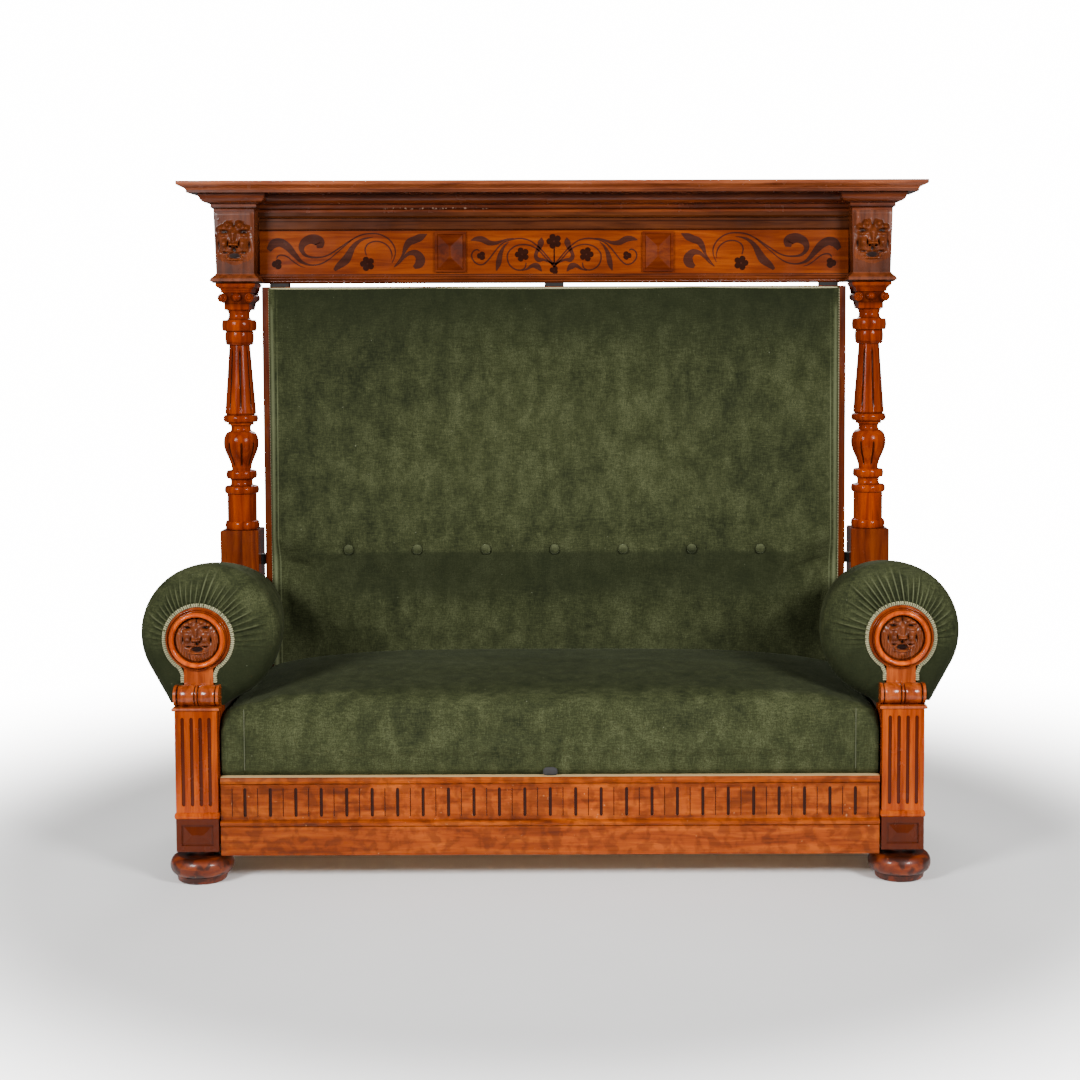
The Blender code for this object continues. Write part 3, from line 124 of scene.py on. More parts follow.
class Graph:
    """Node tree of one finish, with short calls for the nodes that the finishes share."""

    # Places of the colour sockets among the Mix node's own.
    MIX_FIRST, MIX_SECOND, MIX_RESULT = 6, 7, 2

    def __init__(self, name: str) -> None:
        """Starts a material whose shader and object coordinates are at hand.

        Args:
            name: The material's name.
        """
        self.material = bpy.data.materials.new(name)
        self.material.use_nodes = True
        self.tree = self.material.node_tree
        self.shader = self.tree.nodes["Principled BSDF"]
        self.place = self.tree.nodes.new("ShaderNodeTexCoord").outputs["Object"]

    def join(self, source: Socket, target: Socket) -> None:
        """Links two sockets."""
        self.tree.links.new(source, target)

    def feed(self, socket: Socket, value: Socket | float) -> None:
        """Links a socket, or sets it if the value is a number."""
        if isinstance(value, (int, float)):
            socket.default_value = value
        else:
            self.join(value, socket)

    def stretched(self, scale: Sequence[float]) -> Socket:
        """Object coordinates times a scale along each axis."""
        node = self.tree.nodes.new("ShaderNodeMapping")
        node.inputs["Scale"].default_value = scale
        self.join(self.place, node.inputs["Vector"])
        return node.outputs["Vector"]

    def axes(self) -> tuple[Socket, Socket, Socket]:
        """Object coordinates as three separate numbers."""
        node = self.tree.nodes.new("ShaderNodeSeparateXYZ")
        self.join(self.place, node.inputs[0])
        return node.outputs["X"], node.outputs["Y"], node.outputs["Z"]

    def noise(self, vector: Socket, scale: float, detail: float = 4.0, distortion: float = 0.0) -> Socket:
        """Smooth noise from 0 to 1."""
        node = self.tree.nodes.new("ShaderNodeTexNoise")
        node.inputs["Scale"].default_value = scale
        node.inputs["Detail"].default_value = detail
        node.inputs["Distortion"].default_value = distortion
        self.join(vector, node.inputs["Vector"])
        return node.outputs["Fac"]

    def even(self, scale: float, detail: float = 4.0, distortion: float = 0.0) -> Socket:
        """Smooth noise of the same size along every axis."""
        return self.noise(self.stretched((1, 1, 1)), scale, detail, distortion)

    def levels(self, value: Socket, low: float, high: float, first: float = 0.0, last: float = 1.0) -> Socket:
        """Smooth step of a value: first up to low, last from high on."""
        node = self.tree.nodes.new("ShaderNodeMapRange")
        node.interpolation_type = "SMOOTHSTEP"
        self.join(value, node.inputs["Value"])
        for name, number in (("From Min", low), ("From Max", high), ("To Min", first), ("To Max", last)):
            node.inputs[name].default_value = number
        return node.outputs["Result"]

    def maths(self, operation: str, first: Socket | float, second: Socket | float = 0.0) -> Socket:
        """One step of arithmetic on two numbers."""
        node = self.tree.nodes.new("ShaderNodeMath")
        node.operation = operation
        self.feed(node.inputs[0], first)
        self.feed(node.inputs[1], second)
        return node.outputs[0]

    def ramp(self, value: Socket, stops: Sequence[tuple[float, Colour]]) -> Socket:
        """Colour that a value picks from a row of stops."""
        node = self.tree.nodes.new("ShaderNodeValToRGB")
        elements = node.color_ramp.elements
        while len(elements) < len(stops):
            elements.new(0.5)
        for element, (position, colour) in zip(elements, stops):
            element.position = position
            element.color = (*colour, 1.0)
        self.join(value, node.inputs["Fac"])
        return node.outputs["Color"]

    def mix(self, share: Socket | float, first: Socket, second: Socket | Colour, mode: str = "MIX") -> Socket:
        """Mixture of two colours."""
        node = self.tree.nodes.new("ShaderNodeMix")
        node.data_type = "RGBA"
        node.blend_type = mode
        self.feed(node.inputs[0], share)
        self.join(first, node.inputs[self.MIX_FIRST])
        if isinstance(second, tuple):
            node.inputs[self.MIX_SECOND].default_value = (*second, 1.0)
        else:
            self.join(second, node.inputs[self.MIX_SECOND])
        return node.outputs[self.MIX_RESULT]

    def tone(self) -> Socket:
        """Depth of tone that a piece carries at its points, 0 where it has none."""
        node = self.tree.nodes.new("ShaderNodeAttribute")
        node.attribute_name = "tone"
        return node.outputs["Fac"]

    def bump(self, height: Socket, strength: float, distance: float) -> None:
        """Raises the surface's shading by a height."""
        node = self.tree.nodes.new("ShaderNodeBump")
        node.inputs["Strength"].default_value = strength
        node.inputs["Distance"].default_value = distance
        self.join(height, node.inputs["Height"])
        self.join(node.outputs["Normal"], self.shader.inputs["Normal"])

    def dress(self, colour: Socket, roughness: Socket | float, **sockets: float | tuple) -> Material:
        """Feeds the shader.

        Args:
            colour: The base colour.
            roughness: The roughness, even or varied.
            **sockets: Further shader sockets, with underscores for spaces, set to one value each.

        Returns:
            The finished material.
        """
        self.join(colour, self.shader.inputs["Base Color"])
        self.feed(self.shader.inputs["Roughness"], roughness)
        for name, value in sockets.items():
            self.shader.inputs[name.replace("_", " ").title().replace("Ior", "IOR")].default_value = value
        return self.material


@dataclass(frozen=True)
class Recess:
    """Places of a board, found by their depth, that are darkened: its sunk places with painted shade.

    The board spans reach on both sides of the distance middle from the sofa's centre line. Its recesses
    start to darken at the depth start, are full dark at full and end at the depth end.
    """

    middle: float
    reach: float
    start: float
    full: float
    end: float
    low: float
    high: float
    strength: float = 1.0

    def mask(self, graph: Graph) -> Socket:
        """The strength in the recesses and 0 elsewhere."""
        x, y, z = graph.axes()
        aside = graph.maths("ABSOLUTE", graph.maths("SUBTRACT", graph.maths("ABSOLUTE", x), self.middle))
        inside = graph.maths("LESS_THAN", aside, self.reach)
        sunk = graph.levels(y, self.start, self.full)
        near = graph.maths("LESS_THAN", y, self.end)
        over = graph.maths("GREATER_THAN", z, self.low)
        under = graph.maths("LESS_THAN", z, self.high)
        mask = graph.maths("MULTIPLY", sunk, near)
        for part in (inside, over, under, self.strength):
            mask = graph.maths("MULTIPLY", mask, part)
        return mask


@dataclass(frozen=True)
class PolishedWood:
    """French-polished wood: streaked figure and fine pores, with painted shade in its recesses and where
    its tone is above 0, and a painted highlight, partly rubbed polish, where its tone is below 0.

    Wear rubs it and chips it, polish flakes off within the scuffed range of X and Z (left, right, low,
    high), and raw wood shows from the height bare up.
    """

    name: str
    grain: Grain
    light: Colour = (0.380, 0.062, 0.001)
    middle: Colour = (0.235, 0.030, 0.001)
    dark: Colour = (0.095, 0.011, 0.001)
    grime: Colour = (0.016, 0.003, 0.001)
    rubbed_and_painted_light: Colour = (0.400, 0.088, 0.015)
    chip: Colour = (0.42, 0.20, 0.09)
    flake: Colour = (0.40, 0.25, 0.18)
    raw: Colour = (0.52, 0.36, 0.17)
    gloss: float = 0.22
    coat: float = 0.18
    specular: float = 0.25
    wear: float = 0.0
    recesses: tuple[Recess, ...] = ()
    bare: float | None = None
    scuffed: tuple[float, float, float, float] | None = None

    def aged_and_lit(self, name: str, share: float, **changes: object) -> PolishedWood:
        """The same wood with its colours times a share, and any other changes: darker under older polish, and
        lit and shaded copies that paint in light and shade.
        """
        shades = {key: tuple(share * c for c in getattr(self, key)) for key in ("light", "middle", "dark")}
        return replace(self, name=name, **shades, **changes)

    def figure(self, graph: Graph) -> Socket:
        """Colour of the bare figure: streaks along the grain, pores and slow changes of hue."""
        along = graph.stretched(self.grain.value)
        streak = graph.noise(along, 5.0, 6.0, 0.7)
        colour = graph.ramp(streak, ((0.25, self.dark), (0.48, self.middle), (0.72, self.light)))
        cloud = graph.levels(graph.even(4.5, 2.0), 0.3, 0.75, 0.78, 1.12)
        colour = graph.mix(1.0, colour, self.grey(graph, cloud), "MULTIPLY")
        fine = graph.stretched([40.0 * s if s > 1 else 22.0 for s in self.grain.value])
        pores = graph.levels(graph.noise(fine, 1.0, 2.0), 0.55, 0.75, 0.0, 0.55)
        return graph.mix(pores, colour, self.dark)

    @staticmethod
    def grey(graph: Graph, value: Socket) -> Socket:
        """A number as a grey."""
        node = graph.tree.nodes.new("ShaderNodeCombineColor")
        for channel in node.inputs:
            graph.join(value, channel)
        return node.outputs[0]

    def flakes(self, graph: Graph) -> Socket:
        """How far the polish has flaked off, in patches on the front of the scuffed range."""
        x, y, z = graph.axes()
        mask = graph.levels(graph.even(130.0, 3.0), 0.55, 0.62, 0.0, 0.7)
        left, right, low, high = self.scuffed
        near, far = -1.0, 0.32
        for value, start, end in ((x, left, right), (y, near, far), (z, low, high)):
            for operation, limit in (("GREATER_THAN", start), ("LESS_THAN", end)):
                mask = graph.maths("MULTIPLY", mask, graph.maths(operation, value, limit))
        return mask

    def material(self) -> Material:
        """Builds the finish."""
        graph = Graph(self.name)
        colour = self.figure(graph)
        if self.wear:
            rub = graph.levels(graph.even(38.0, 5.0, 0.4), 0.44, 0.60, 0.0, self.wear)
            colour = graph.mix(rub, colour, self.grime)
            chips = graph.levels(graph.even(95.0, 3.0), 0.70, 0.76, 0.0, 0.6)
            colour = graph.mix(chips, colour, self.chip)
        # Painted shade: a tone above 0 and the recesses darken the colour; a tone below 0 pales it, a painted
        # highlight that is partly rubbed polish.
        depth = graph.tone()
        for recess in self.recesses:
            depth = graph.maths("MAXIMUM", depth, recess.mask(graph))
        colour = graph.mix(graph.levels(depth, 0.0, 1.0, 0.0, 0.95), colour, self.grime)
        colour = graph.mix(graph.levels(depth, 0.0, -1.0), colour, self.rubbed_and_painted_light)
        if self.scuffed:
            colour = graph.mix(self.flakes(graph), colour, self.flake)
        if self.bare:
            top = graph.levels(graph.axes()[2], self.bare, self.bare + 0.0004)
            colour = graph.mix(top, colour, self.raw)
        smear = graph.even(26.0, 4.0)
        graph.bump(graph.noise(graph.stretched([9.0 * s for s in self.grain.value]), 9.0, 3.0), 0.10, 0.0006)
        rough = graph.levels(smear, 0.3, 0.8, self.gloss - 0.03, self.gloss + 0.08)
        return graph.dress(
            colour, rough, coat_weight=self.coat, coat_roughness=0.07, specular_ior_level=self.specular
        )


@dataclass(frozen=True)
class FriezeVeneer(PolishedWood):
    """Honey veneer on the frieze's panels, with red-brown mouldings above a level."""

    level: float = 1.5645
    # Colours of the upper mouldings, darker than their wood is: partly painted shade under the corona.
    mouldings: tuple[Colour, Colour, Colour] = (
        (0.112, 0.029, 0.0070),
        (0.074, 0.018, 0.0045),
        (0.030, 0.007, 0.0020),
    )

    def material(self) -> Material:
        """Builds the finish: the veneer below the level and the mouldings above it."""
        graph = Graph(self.name)
        honey = self.figure(graph)
        light, middle, dark = self.mouldings
        red = replace(self, light=light, middle=middle, dark=dark).figure(graph)
        _, _, z = graph.axes()
        upper = graph.levels(z, self.level - 0.0012, self.level + 0.0004)
        colour = graph.mix(upper, honey, red)
        for line in (self.level - 0.0002, self.level + 0.0232):
            away = graph.maths("ABSOLUTE", graph.maths("SUBTRACT", z, line))
            colour = graph.mix(graph.levels(away, 0.0004, 0.0028, 0.75, 0.0), colour, self.grime)
        graph.bump(graph.noise(graph.stretched([9.0 * s for s in self.grain.value]), 9.0, 3.0), 0.08, 0.0005)
        smear = graph.even(20.0, 4.0)
        rough = graph.levels(smear, 0.3, 0.8, self.gloss - 0.02, self.gloss + 0.06)
        return graph.dress(colour, rough, coat_weight=self.coat, coat_roughness=0.14, specular_ior_level=0.2)


@dataclass(frozen=True)
class Velvet:
    """Cut-pile velvet: cloudy pile marks, a fine pile and a pale sheen at grazing angles.

    A tone above 0 darkens it with painted shade, as in creases, and one below 0 pales it with a painted
    highlight, as on ridges, partly rubbed pile.
    """

    name: str = "olive_velvet"
    deep: Colour = (0.0128, 0.0158, 0.0066)
    middle: Colour = (0.0378, 0.0433, 0.0172)
    light: Colour = (0.0705, 0.0785, 0.0350)
    pale: Colour = (0.1350, 0.1480, 0.0760)
    sheen: float = 0.04

    def material(self) -> Material:
        """Builds the finish."""
        graph = Graph(self.name)
        cloud = graph.even(3.2, 3.0, 0.2)
        brushed = graph.noise(graph.stretched((1.0, 1.0, 0.6)), 26.0, 5.0, 0.3)
        weft = graph.noise(graph.stretched((1.0, 1.0, 5.0)), 60.0, 3.0)
        warp = graph.noise(graph.stretched((5.0, 5.0, 1.0)), 60.0, 3.0)
        marks = graph.maths("MULTIPLY", cloud, 0.22)
        for noise, share in ((brushed, 0.34), (weft, 0.24), (warp, 0.20)):
            marks = graph.maths("ADD", marks, graph.maths("MULTIPLY", noise, share))
        colour = graph.ramp(marks, ((0.38, self.deep), (0.50, self.middle), (0.62, self.light)))
        pile = graph.even(430.0, 2.0)
        colour = graph.mix(graph.levels(pile, 0.38, 0.66, 0.0, 0.62), colour, self.deep)
        tone = graph.tone()
        # Painted shade: a tone above 0 darkens towards deep; painted highlight: a tone below 0 pales towards
        # pale.
        colour = graph.mix(graph.levels(tone, 0.0, 1.0, 0.0, 0.85), colour, self.deep)
        colour = graph.mix(graph.levels(tone, 0.0, -1.0), colour, self.pale)
        lint = graph.levels(graph.even(140.0, 1.0), 0.80, 0.83, 0.0, 0.5)
        colour = graph.mix(lint, colour, (0.16, 0.17, 0.11))
        graph.bump(pile, 0.40, 0.0016)
        return graph.dress(
            colour,
            graph.levels(cloud, 0.3, 0.7, 0.80, 0.95),
            sheen_weight=self.sheen,
            sheen_roughness=0.38,
            sheen_tint=(0.62, 0.70, 0.46, 1.0),
            specular_ior_level=0.06,
        )


@dataclass(frozen=True)
class Thread:
    """Braided or woven thread: pale on its ridges and deep between them."""

    name: str
    pale: Colour
    deep: Colour
    weave: float = 900.0

    def material(self) -> Material:
        """Builds the finish."""
        graph = Graph(self.name)
        fuzz = graph.even(self.weave, 3.0)
        colour = graph.ramp(fuzz, ((0.30, tuple(0.6 * c for c in self.pale)), (0.65, self.pale)))
        colour = graph.mix(graph.levels(graph.tone(), 0.05, 0.95), colour, self.deep)
        graph.bump(fuzz, 0.4, 0.0008)
        return graph.dress(colour, 0.88, sheen_weight=0.2, sheen_roughness=0.5)


@dataclass(frozen=True)
class PlainWood:
    """Sanded, unpolished wood of the hidden frame."""

    name: str
    grain: Grain
    light: Colour = (0.52, 0.34, 0.19)
    dark: Colour = (0.33, 0.19, 0.095)

    def material(self) -> Material:
        """Builds the finish."""
        graph = Graph(self.name)
        streak = graph.noise(graph.stretched(self.grain.value), 6.0, 6.0, 0.5)
        colour = graph.ramp(streak, ((0.3, self.dark), (0.62, self.light)))
        fleck = graph.noise(graph.stretched([20.0 * s for s in self.grain.value]), 3.0, 2.0)
        colour = graph.mix(graph.levels(fleck, 0.6, 0.75, 0.0, 0.5), colour, self.dark)
        graph.bump(fleck, 0.2, 0.0006)
        return graph.dress(colour, graph.levels(streak, 0.3, 0.7, 0.58, 0.72))


@dataclass(frozen=True)
class Worn:
    """A plain stuff with a mottled surface: blackened iron or leather that shows wear."""

    name: str
    base: Colour
    spot: Colour
    roughness: float
    metallic: float = 0.0
    grain: float = 120.0

    def material(self) -> Material:
        """Builds the finish."""
        graph = Graph(self.name)
        mottle = graph.even(self.grain, 5.0, 0.3)
        colour = graph.ramp(mottle, ((0.35, self.base), (0.70, self.spot)))
        graph.bump(mottle, 0.25, 0.0008)
        rough = graph.levels(mottle, 0.3, 0.7, self.roughness - 0.08, self.roughness + 0.1)
        return graph.dress(colour, rough, metallic=self.metallic)


# Surfaces


def smoothstep(value: Array | float, low: float, high: float) -> Array:
    """0 up to low and 1 from high on, with the cubic 3t^2 - 2t^3 between them."""
    t = np.clip((np.asarray(value, float) - low) / (high - low), 0.0, 1.0)
    return t * t * (3.0 - 2.0 * t)


def hump(value: Array, middle: float, spread: float) -> Array:
    """Bell curve of height 1."""
    return np.exp(-(((value - middle) / spread) ** 2))


def arch(value: Array, power: int = 2) -> Array:
    """Arch of height 1 over -1 to 1, flatter the higher its power, and 0 beyond."""
    return np.sqrt(np.maximum(0.0, 1.0 - np.abs(value) ** power))


def stacked(*columns: Array | float) -> Array:
    """Rows from columns, which are arrays or numbers that spread over each other."""
    return np.stack(np.broadcast_arrays(*columns), axis=-1)


def softened(values: Array, passes: int, axis: int = 0) -> Array:
    """Values averaged with their neighbours along an axis, as often as asked."""
    values = np.moveaxis(np.asarray(values, float), axis, 0)
    for _ in range(passes):
        wide = np.concatenate([values[:1], values, values[-1:]])
        values = (wide[:-2] + 2.0 * wide[1:-1] + wide[2:]) / 4.0
    return np.moveaxis(values, 0, axis)


def spline(points: Sequence[Sequence[float]], count: int) -> Array:
    """Catmull-Rom curve through points, sampled evenly along its length in the first two columns.

    Args:
        points: Rows of coordinates; further columns, such as a width, ride along.
        count: How many samples to return.

    Returns:
        An array of count rows.
    """
    p = np.asarray(points, float)
    ends = np.vstack([2 * p[:1] - p[1:2], p, 2 * p[-1:] - p[-2:-1]])
    a, b, c, d = (ends[k : len(ends) - 3 + k, None] for k in range(4))
    t = np.linspace(0.0, 1.0, 24, endpoint=False)[None, :, None]
    curve = 2 * b + (c - a) * t + (2 * a - 5 * b + 4 * c - d) * t**2 + (3 * b - a - 3 * c + d) * t**3
    curve = np.vstack([curve.reshape(-1, p.shape[1]) / 2, p[-1:]])
    steps = np.linalg.norm(np.diff(curve[:, :2], axis=0), axis=1)
    length = np.concatenate([[0.0], np.cumsum(steps)])
    at = np.linspace(0.0, length[-1], count)
    return np.stack([np.interp(at, length, column) for column in curve.T], axis=-1)


def turnings(elements: Sequence[tuple[Turning, float, float, float]], rounds: int = 14) -> Array:
    """Profile (radius, height) of stacked turnings, listed from the bottom up.

    A cone runs straight from the first radius to the second; a bulge starts and ends at the first and
    reaches the second half-way up; an ogee swings from one to the other; a dome closes over.

    Args:
        elements: Rows of (shape, height, first radius, second radius).
        rounds: Points on each curved element.

    Returns:
        Rows of (radius, height).
    """
    t = np.linspace(0.0, 1.0, rounds)
    rows: list[Array] = []
    level = 0.0
    for shape, height, first, second in elements:
        if shape is Turning.BULGE:
            radius, rise = first + (second - first) * np.sin(np.pi * t), (1 - np.cos(np.pi * t)) / 2
        elif shape is Turning.OGEE:
            radius, rise = first + (second - first) * (1 - np.cos(np.pi * t)) / 2, t
        elif shape is Turning.DOME:
            radius, rise = second + (first - second) * np.cos(np.pi / 2 * t), np.sin(np.pi / 2 * t)
        else:
            radius, rise = first + (second - first) * t, t
        rows.append(stacked(radius, level + height * rise))
        level += height
    return np.vstack(rows)


def painted_recess_shade(profile: Array, reach: float = 0.006, gain: float = 130.0) -> Array:
    """Tone along a turned profile: painted shade where it lies below its own running average."""
    heights, radii = profile[:, 1], profile[:, 0]
    level = np.linspace(heights[0], heights[-1], 700)
    radius = np.interp(level, heights, radii)
    step = level[1] - level[0]
    mean = softened(radius, max(1, int((reach / step) ** 2)))
    return np.clip(np.interp(heights, level, mean - radius) * gain, 0.0, 0.85)


def lathe(profile: Array, steps: int) -> Array:
    """Grid of a solid of revolution: (r cos a, r sin a, h), closed to the axis at both ends."""
    rows = np.vstack([[0.0, profile[0, 1]], profile, [0.0, profile[-1, 1]]])
    angle = np.linspace(0.0, 2 * np.pi, steps, endpoint=False)
    r, h = rows[:, :1], rows[:, 1:]
    return stacked(r * np.cos(angle), r * np.sin(angle), h)


def facing(points: Array) -> Array:
    """Turns a piece that stands on Z so that it points at the viewer, along -Y."""
    return stacked(points[..., 0], -points[..., 2], points[..., 1])


def padded_tone(tone: Array) -> Array:
    """Tone of a profile with its two end points doubled, for the grid that lathe makes."""
    return np.concatenate([tone[:1], tone, tone[-1:]])[:, None]


def normals(points: Array, wrap: bool = False) -> Array:
    """Unit normals of a grid, from the cross product of its two tangents."""
    along = np.gradient(points, axis=0)
    if wrap:
        across = np.roll(points, -1, axis=1) - np.roll(points, 1, axis=1)
    else:
        across = np.gradient(points, axis=1)
    cross = np.cross(along, across)
    return cross / np.maximum(np.linalg.norm(cross, axis=-1, keepdims=True), 1e-12)


def cavity(height: Array, gain: float, passes: int = 14, rubbed_and_painted_light: float = 0.0) -> Array:
    """Tone of a relief: painted shade where it lies below the average of its surroundings, a painted
    highlight, partly rubbed polish, where above it.
    """
    mean = softened(softened(height, passes, 0), passes, 1)
    return np.clip((mean - height) * gain, -rubbed_and_painted_light, 1.0)


def moulded(path: Sequence[tuple[float, float]], profile: Array, back: float) -> Array:
    """Grid of a slab whose edge follows a moulding.

    Each profile point (reach, height) moves the whole plan path outward by reach along its mitres, and
    the two end rows close the slab against its back plane.

    Args:
        path: Plan corners from the left end of the back plane round the front to its right end.
        profile: Rows of (reach, height) from the bottom up.
        back: Y of the back plane.

    Returns:
        An array of (profile rows + 2, corners, 3).
    """
    corner = np.asarray(path, float)
    along = np.diff(corner, axis=0)
    along /= np.linalg.norm(along, axis=1, keepdims=True)
    out = stacked(along[:, 1], -along[:, 0])
    before, after = np.vstack([out[:1], out]), np.vstack([out, out[-1:]])
    mitre = (before + after) / (1.0 + np.sum(before * after, axis=1, keepdims=True))
    plan = corner[None] + profile[:, None, :1] * mitre[None]
    height = np.broadcast_to(profile[:, None, 1:], (*plan.shape[:2], 1))
    rows = np.concatenate([plan, height], axis=-1)
    ends = rows[[0, -1]].copy()
    ends[..., 1] = back
    return np.concatenate([ends[:1], rows, ends[1:]])


def closed_slab(front: Array, back: float, axis: int) -> Array:
    """Closes a relief grid: a skirt to a back plane, whose points then meet in the middle.

    Args:
        front: Grid of the visible face.
        back: Place of the back plane.
        axis: Axis that the back plane is square to.

    Returns:
        The grid with two more rows and columns at each border.
    """
    skirt = np.pad(front, ((1, 1), (1, 1), (0, 0)), mode="edge")
    rim = np.ones(skirt.shape[:2], bool)
    rim[1:-1, 1:-1] = False
    skirt[rim, axis] = back
    whole = np.pad(skirt, ((1, 1), (1, 1), (0, 0)), mode="edge")
    rim = np.ones(whole.shape[:2], bool)
    rim[1:-1, 1:-1] = False
    middle = front.reshape(-1, 3).mean(axis=0)
    middle[axis] = back
    whole[rim] = middle
    return whole


def capped(loops: Array) -> Array:
    """Grid of closed loops whose first and last loop are each drawn together at their middle."""
    ends = np.broadcast_to(loops[[0, -1]].mean(axis=1, keepdims=True), (2, *loops.shape[1:]))
    return np.concatenate([ends[:1], loops, ends[1:]])


def block_plan(middle: float, half: float, front: float, back: float) -> list[tuple[float, float]]:
    """Plan corners of a block, from the left end of its back round the front to the right end."""
    return [(middle - half, back), (middle - half, front), (middle + half, front), (middle + half, back)]


@dataclass
class Surface:
    """Grids of points gathered into one piece, with a depth of tone at each point."""

    points: list[Array] = field(default_factory=list)
    quads: list[Array] = field(default_factory=list)
    tones: list[Array] = field(default_factory=list)
    count: int = 0

    def grid(self, points: Array, wrap: Wrap = Wrap.OPEN, tone: Array | float = 0.0) -> Surface:
        """Adds a grid of points, joined by quads to its neighbours.

        Args:
            points: Array of (rows, columns, 3).
            wrap: Which of its ways closes up into a ring.
            tone: Depth of tone, broadcast over the grid.

        Returns:
            The surface itself.
        """
        rows, columns = points.shape[:2]
        down, across = (np.arange(n - (not ring)) for n, ring in zip((rows, columns), wrap.value))
        a, b = np.meshgrid(down, across, indexing="ij")
        c, d = (a + 1) % rows, (b + 1) % columns
        quads = stacked(a * columns + b, a * columns + d, c * columns + d, c * columns + b)
        self.points.append(np.asarray(points, float).reshape(-1, 3))
        self.quads.append(quads.reshape(-1, 4) + self.count)
        self.tones.append(np.broadcast_to(tone, (rows, columns)).reshape(-1))
        self.count += rows * columns
        return self

    def mesh(self, name: str, sharp: float) -> bpy.types.Mesh:
        """Welds the grids where they meet and turns their faces outward."""
        points = np.concatenate(self.points).astype(np.float32)
        quads = np.concatenate(self.quads).astype(np.int32)
        mesh = bpy.data.meshes.new(name)
        mesh.vertices.add(len(points))
        mesh.vertices.foreach_set("co", points.ravel())
        mesh.polygons.add(len(quads))
        mesh.loops.add(quads.size)
        mesh.loops.foreach_set("vertex_index", quads.ravel())
        mesh.polygons.foreach_set("loop_start", np.arange(0, quads.size, 4, dtype=np.int32))
        mesh.update(calc_edges=True)
        tone = mesh.attributes.new("tone", "FLOAT", "POINT")
        tone.data.foreach_set("value", np.concatenate(self.tones).astype(np.float32))
        bm = bmesh.new()
        bm.from_mesh(mesh)
        bmesh.ops.remove_doubles(bm, verts=bm.verts, dist=WELD)
        bmesh.ops.dissolve_degenerate(bm, dist=1e-7, edges=bm.edges)
        bmesh.ops.recalc_face_normals(bm, faces=bm.faces)
        bm.to_mesh(mesh)
        bm.free()
        mesh.shade_smooth()
        mesh.set_sharp_from_angle(angle=math.radians(sharp))
        return mesh

    def place(
        self,
        name: str,
        finish: Material,
        slot: str,
        body: Body = Body.FRAME,
        replaced: Sequence[str] = (),
        sharp: float = 40.0,
    ) -> Piece:
        """Makes the piece and lets it ride on its body.

        Args:
            name: The piece's name.
            finish: Its material.
            slot: The record's material slot that the finish stands for; not used.
            body: The body it rides on.
            replaced: Frame nodes that it stands for.
            sharp: Angle in degrees past which an edge stays crisp.

        Returns:
            The piece.
        """
        mesh = self.mesh(name, sharp)
        mesh.materials.append(finish)
        piece = bpy.data.objects.new(name, mesh)
        bpy.context.scene.collection.objects.link(piece)
        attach(piece, body.value)
        if replaced:
            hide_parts(*replaced)
        LOG.info("%s: %d faces", name, len(mesh.polygons))
        return piece


def stuff(piece: Piece, held: Array, cap: float, pressure: float = 4.0, steps: int = 20) -> None:
    """Fills an upholstered piece: a cloth simulation under pressure swells what isn't held.

    Args:
        piece: The cover, a closed mesh.
        held: Mask over its points that are sewn or nailed down.
        cap: The furthest that a point may move, in metres.
        pressure: Pressure of the stuffing.
        steps: Frames that the simulation runs for.
    """
    group = piece.vertex_groups.new(name="held")
    group.add(np.flatnonzero(held).tolist(), 1.0, "REPLACE")
    cloth = piece.modifiers.new("stuffing", "CLOTH")
    settings = cloth.settings
    settings.quality = 4
    settings.mass = 0.3
    settings.vertex_group_mass = group.name
    settings.use_pressure = True
    settings.uniform_pressure_force = pressure
    settings.effector_weights.gravity = 0.0
    cloth.collision_settings.use_collision = False
    scene = bpy.context.scene
    count = len(piece.data.vertices)
    before = np.empty(count * 3, np.float32)
    piece.data.vertices.foreach_get("co", before)
    for step in range(1, steps + 1):
        scene.frame_set(step)
    shown = piece.evaluated_get(bpy.context.evaluated_depsgraph_get())
    after = np.empty(count * 3, np.float32)
    shown.data.vertices.foreach_get("co", after)
    move = (after - before).reshape(-1, 3)
    length = np.linalg.norm(move, axis=1, keepdims=True)
    move *= np.minimum(1.0, cap / np.maximum(length, 1e-9))
    piece.modifiers.remove(cloth)
    piece.vertex_groups.remove(group)
    scene.frame_set(1)
    piece.data.vertices.foreach_set("co", before + move.ravel())
    piece.data.update()
    LOG.info("%s: swelled by up to %.1f mm", piece.name, 1000 * float(length.max()))


def points_of(piece: Piece) -> Array:
    """Places of a piece's points, as rows."""
    flat = np.empty(len(piece.data.vertices) * 3, np.float32)
    piece.data.vertices.foreach_get("co", flat)
    return flat.reshape(-1, 3)


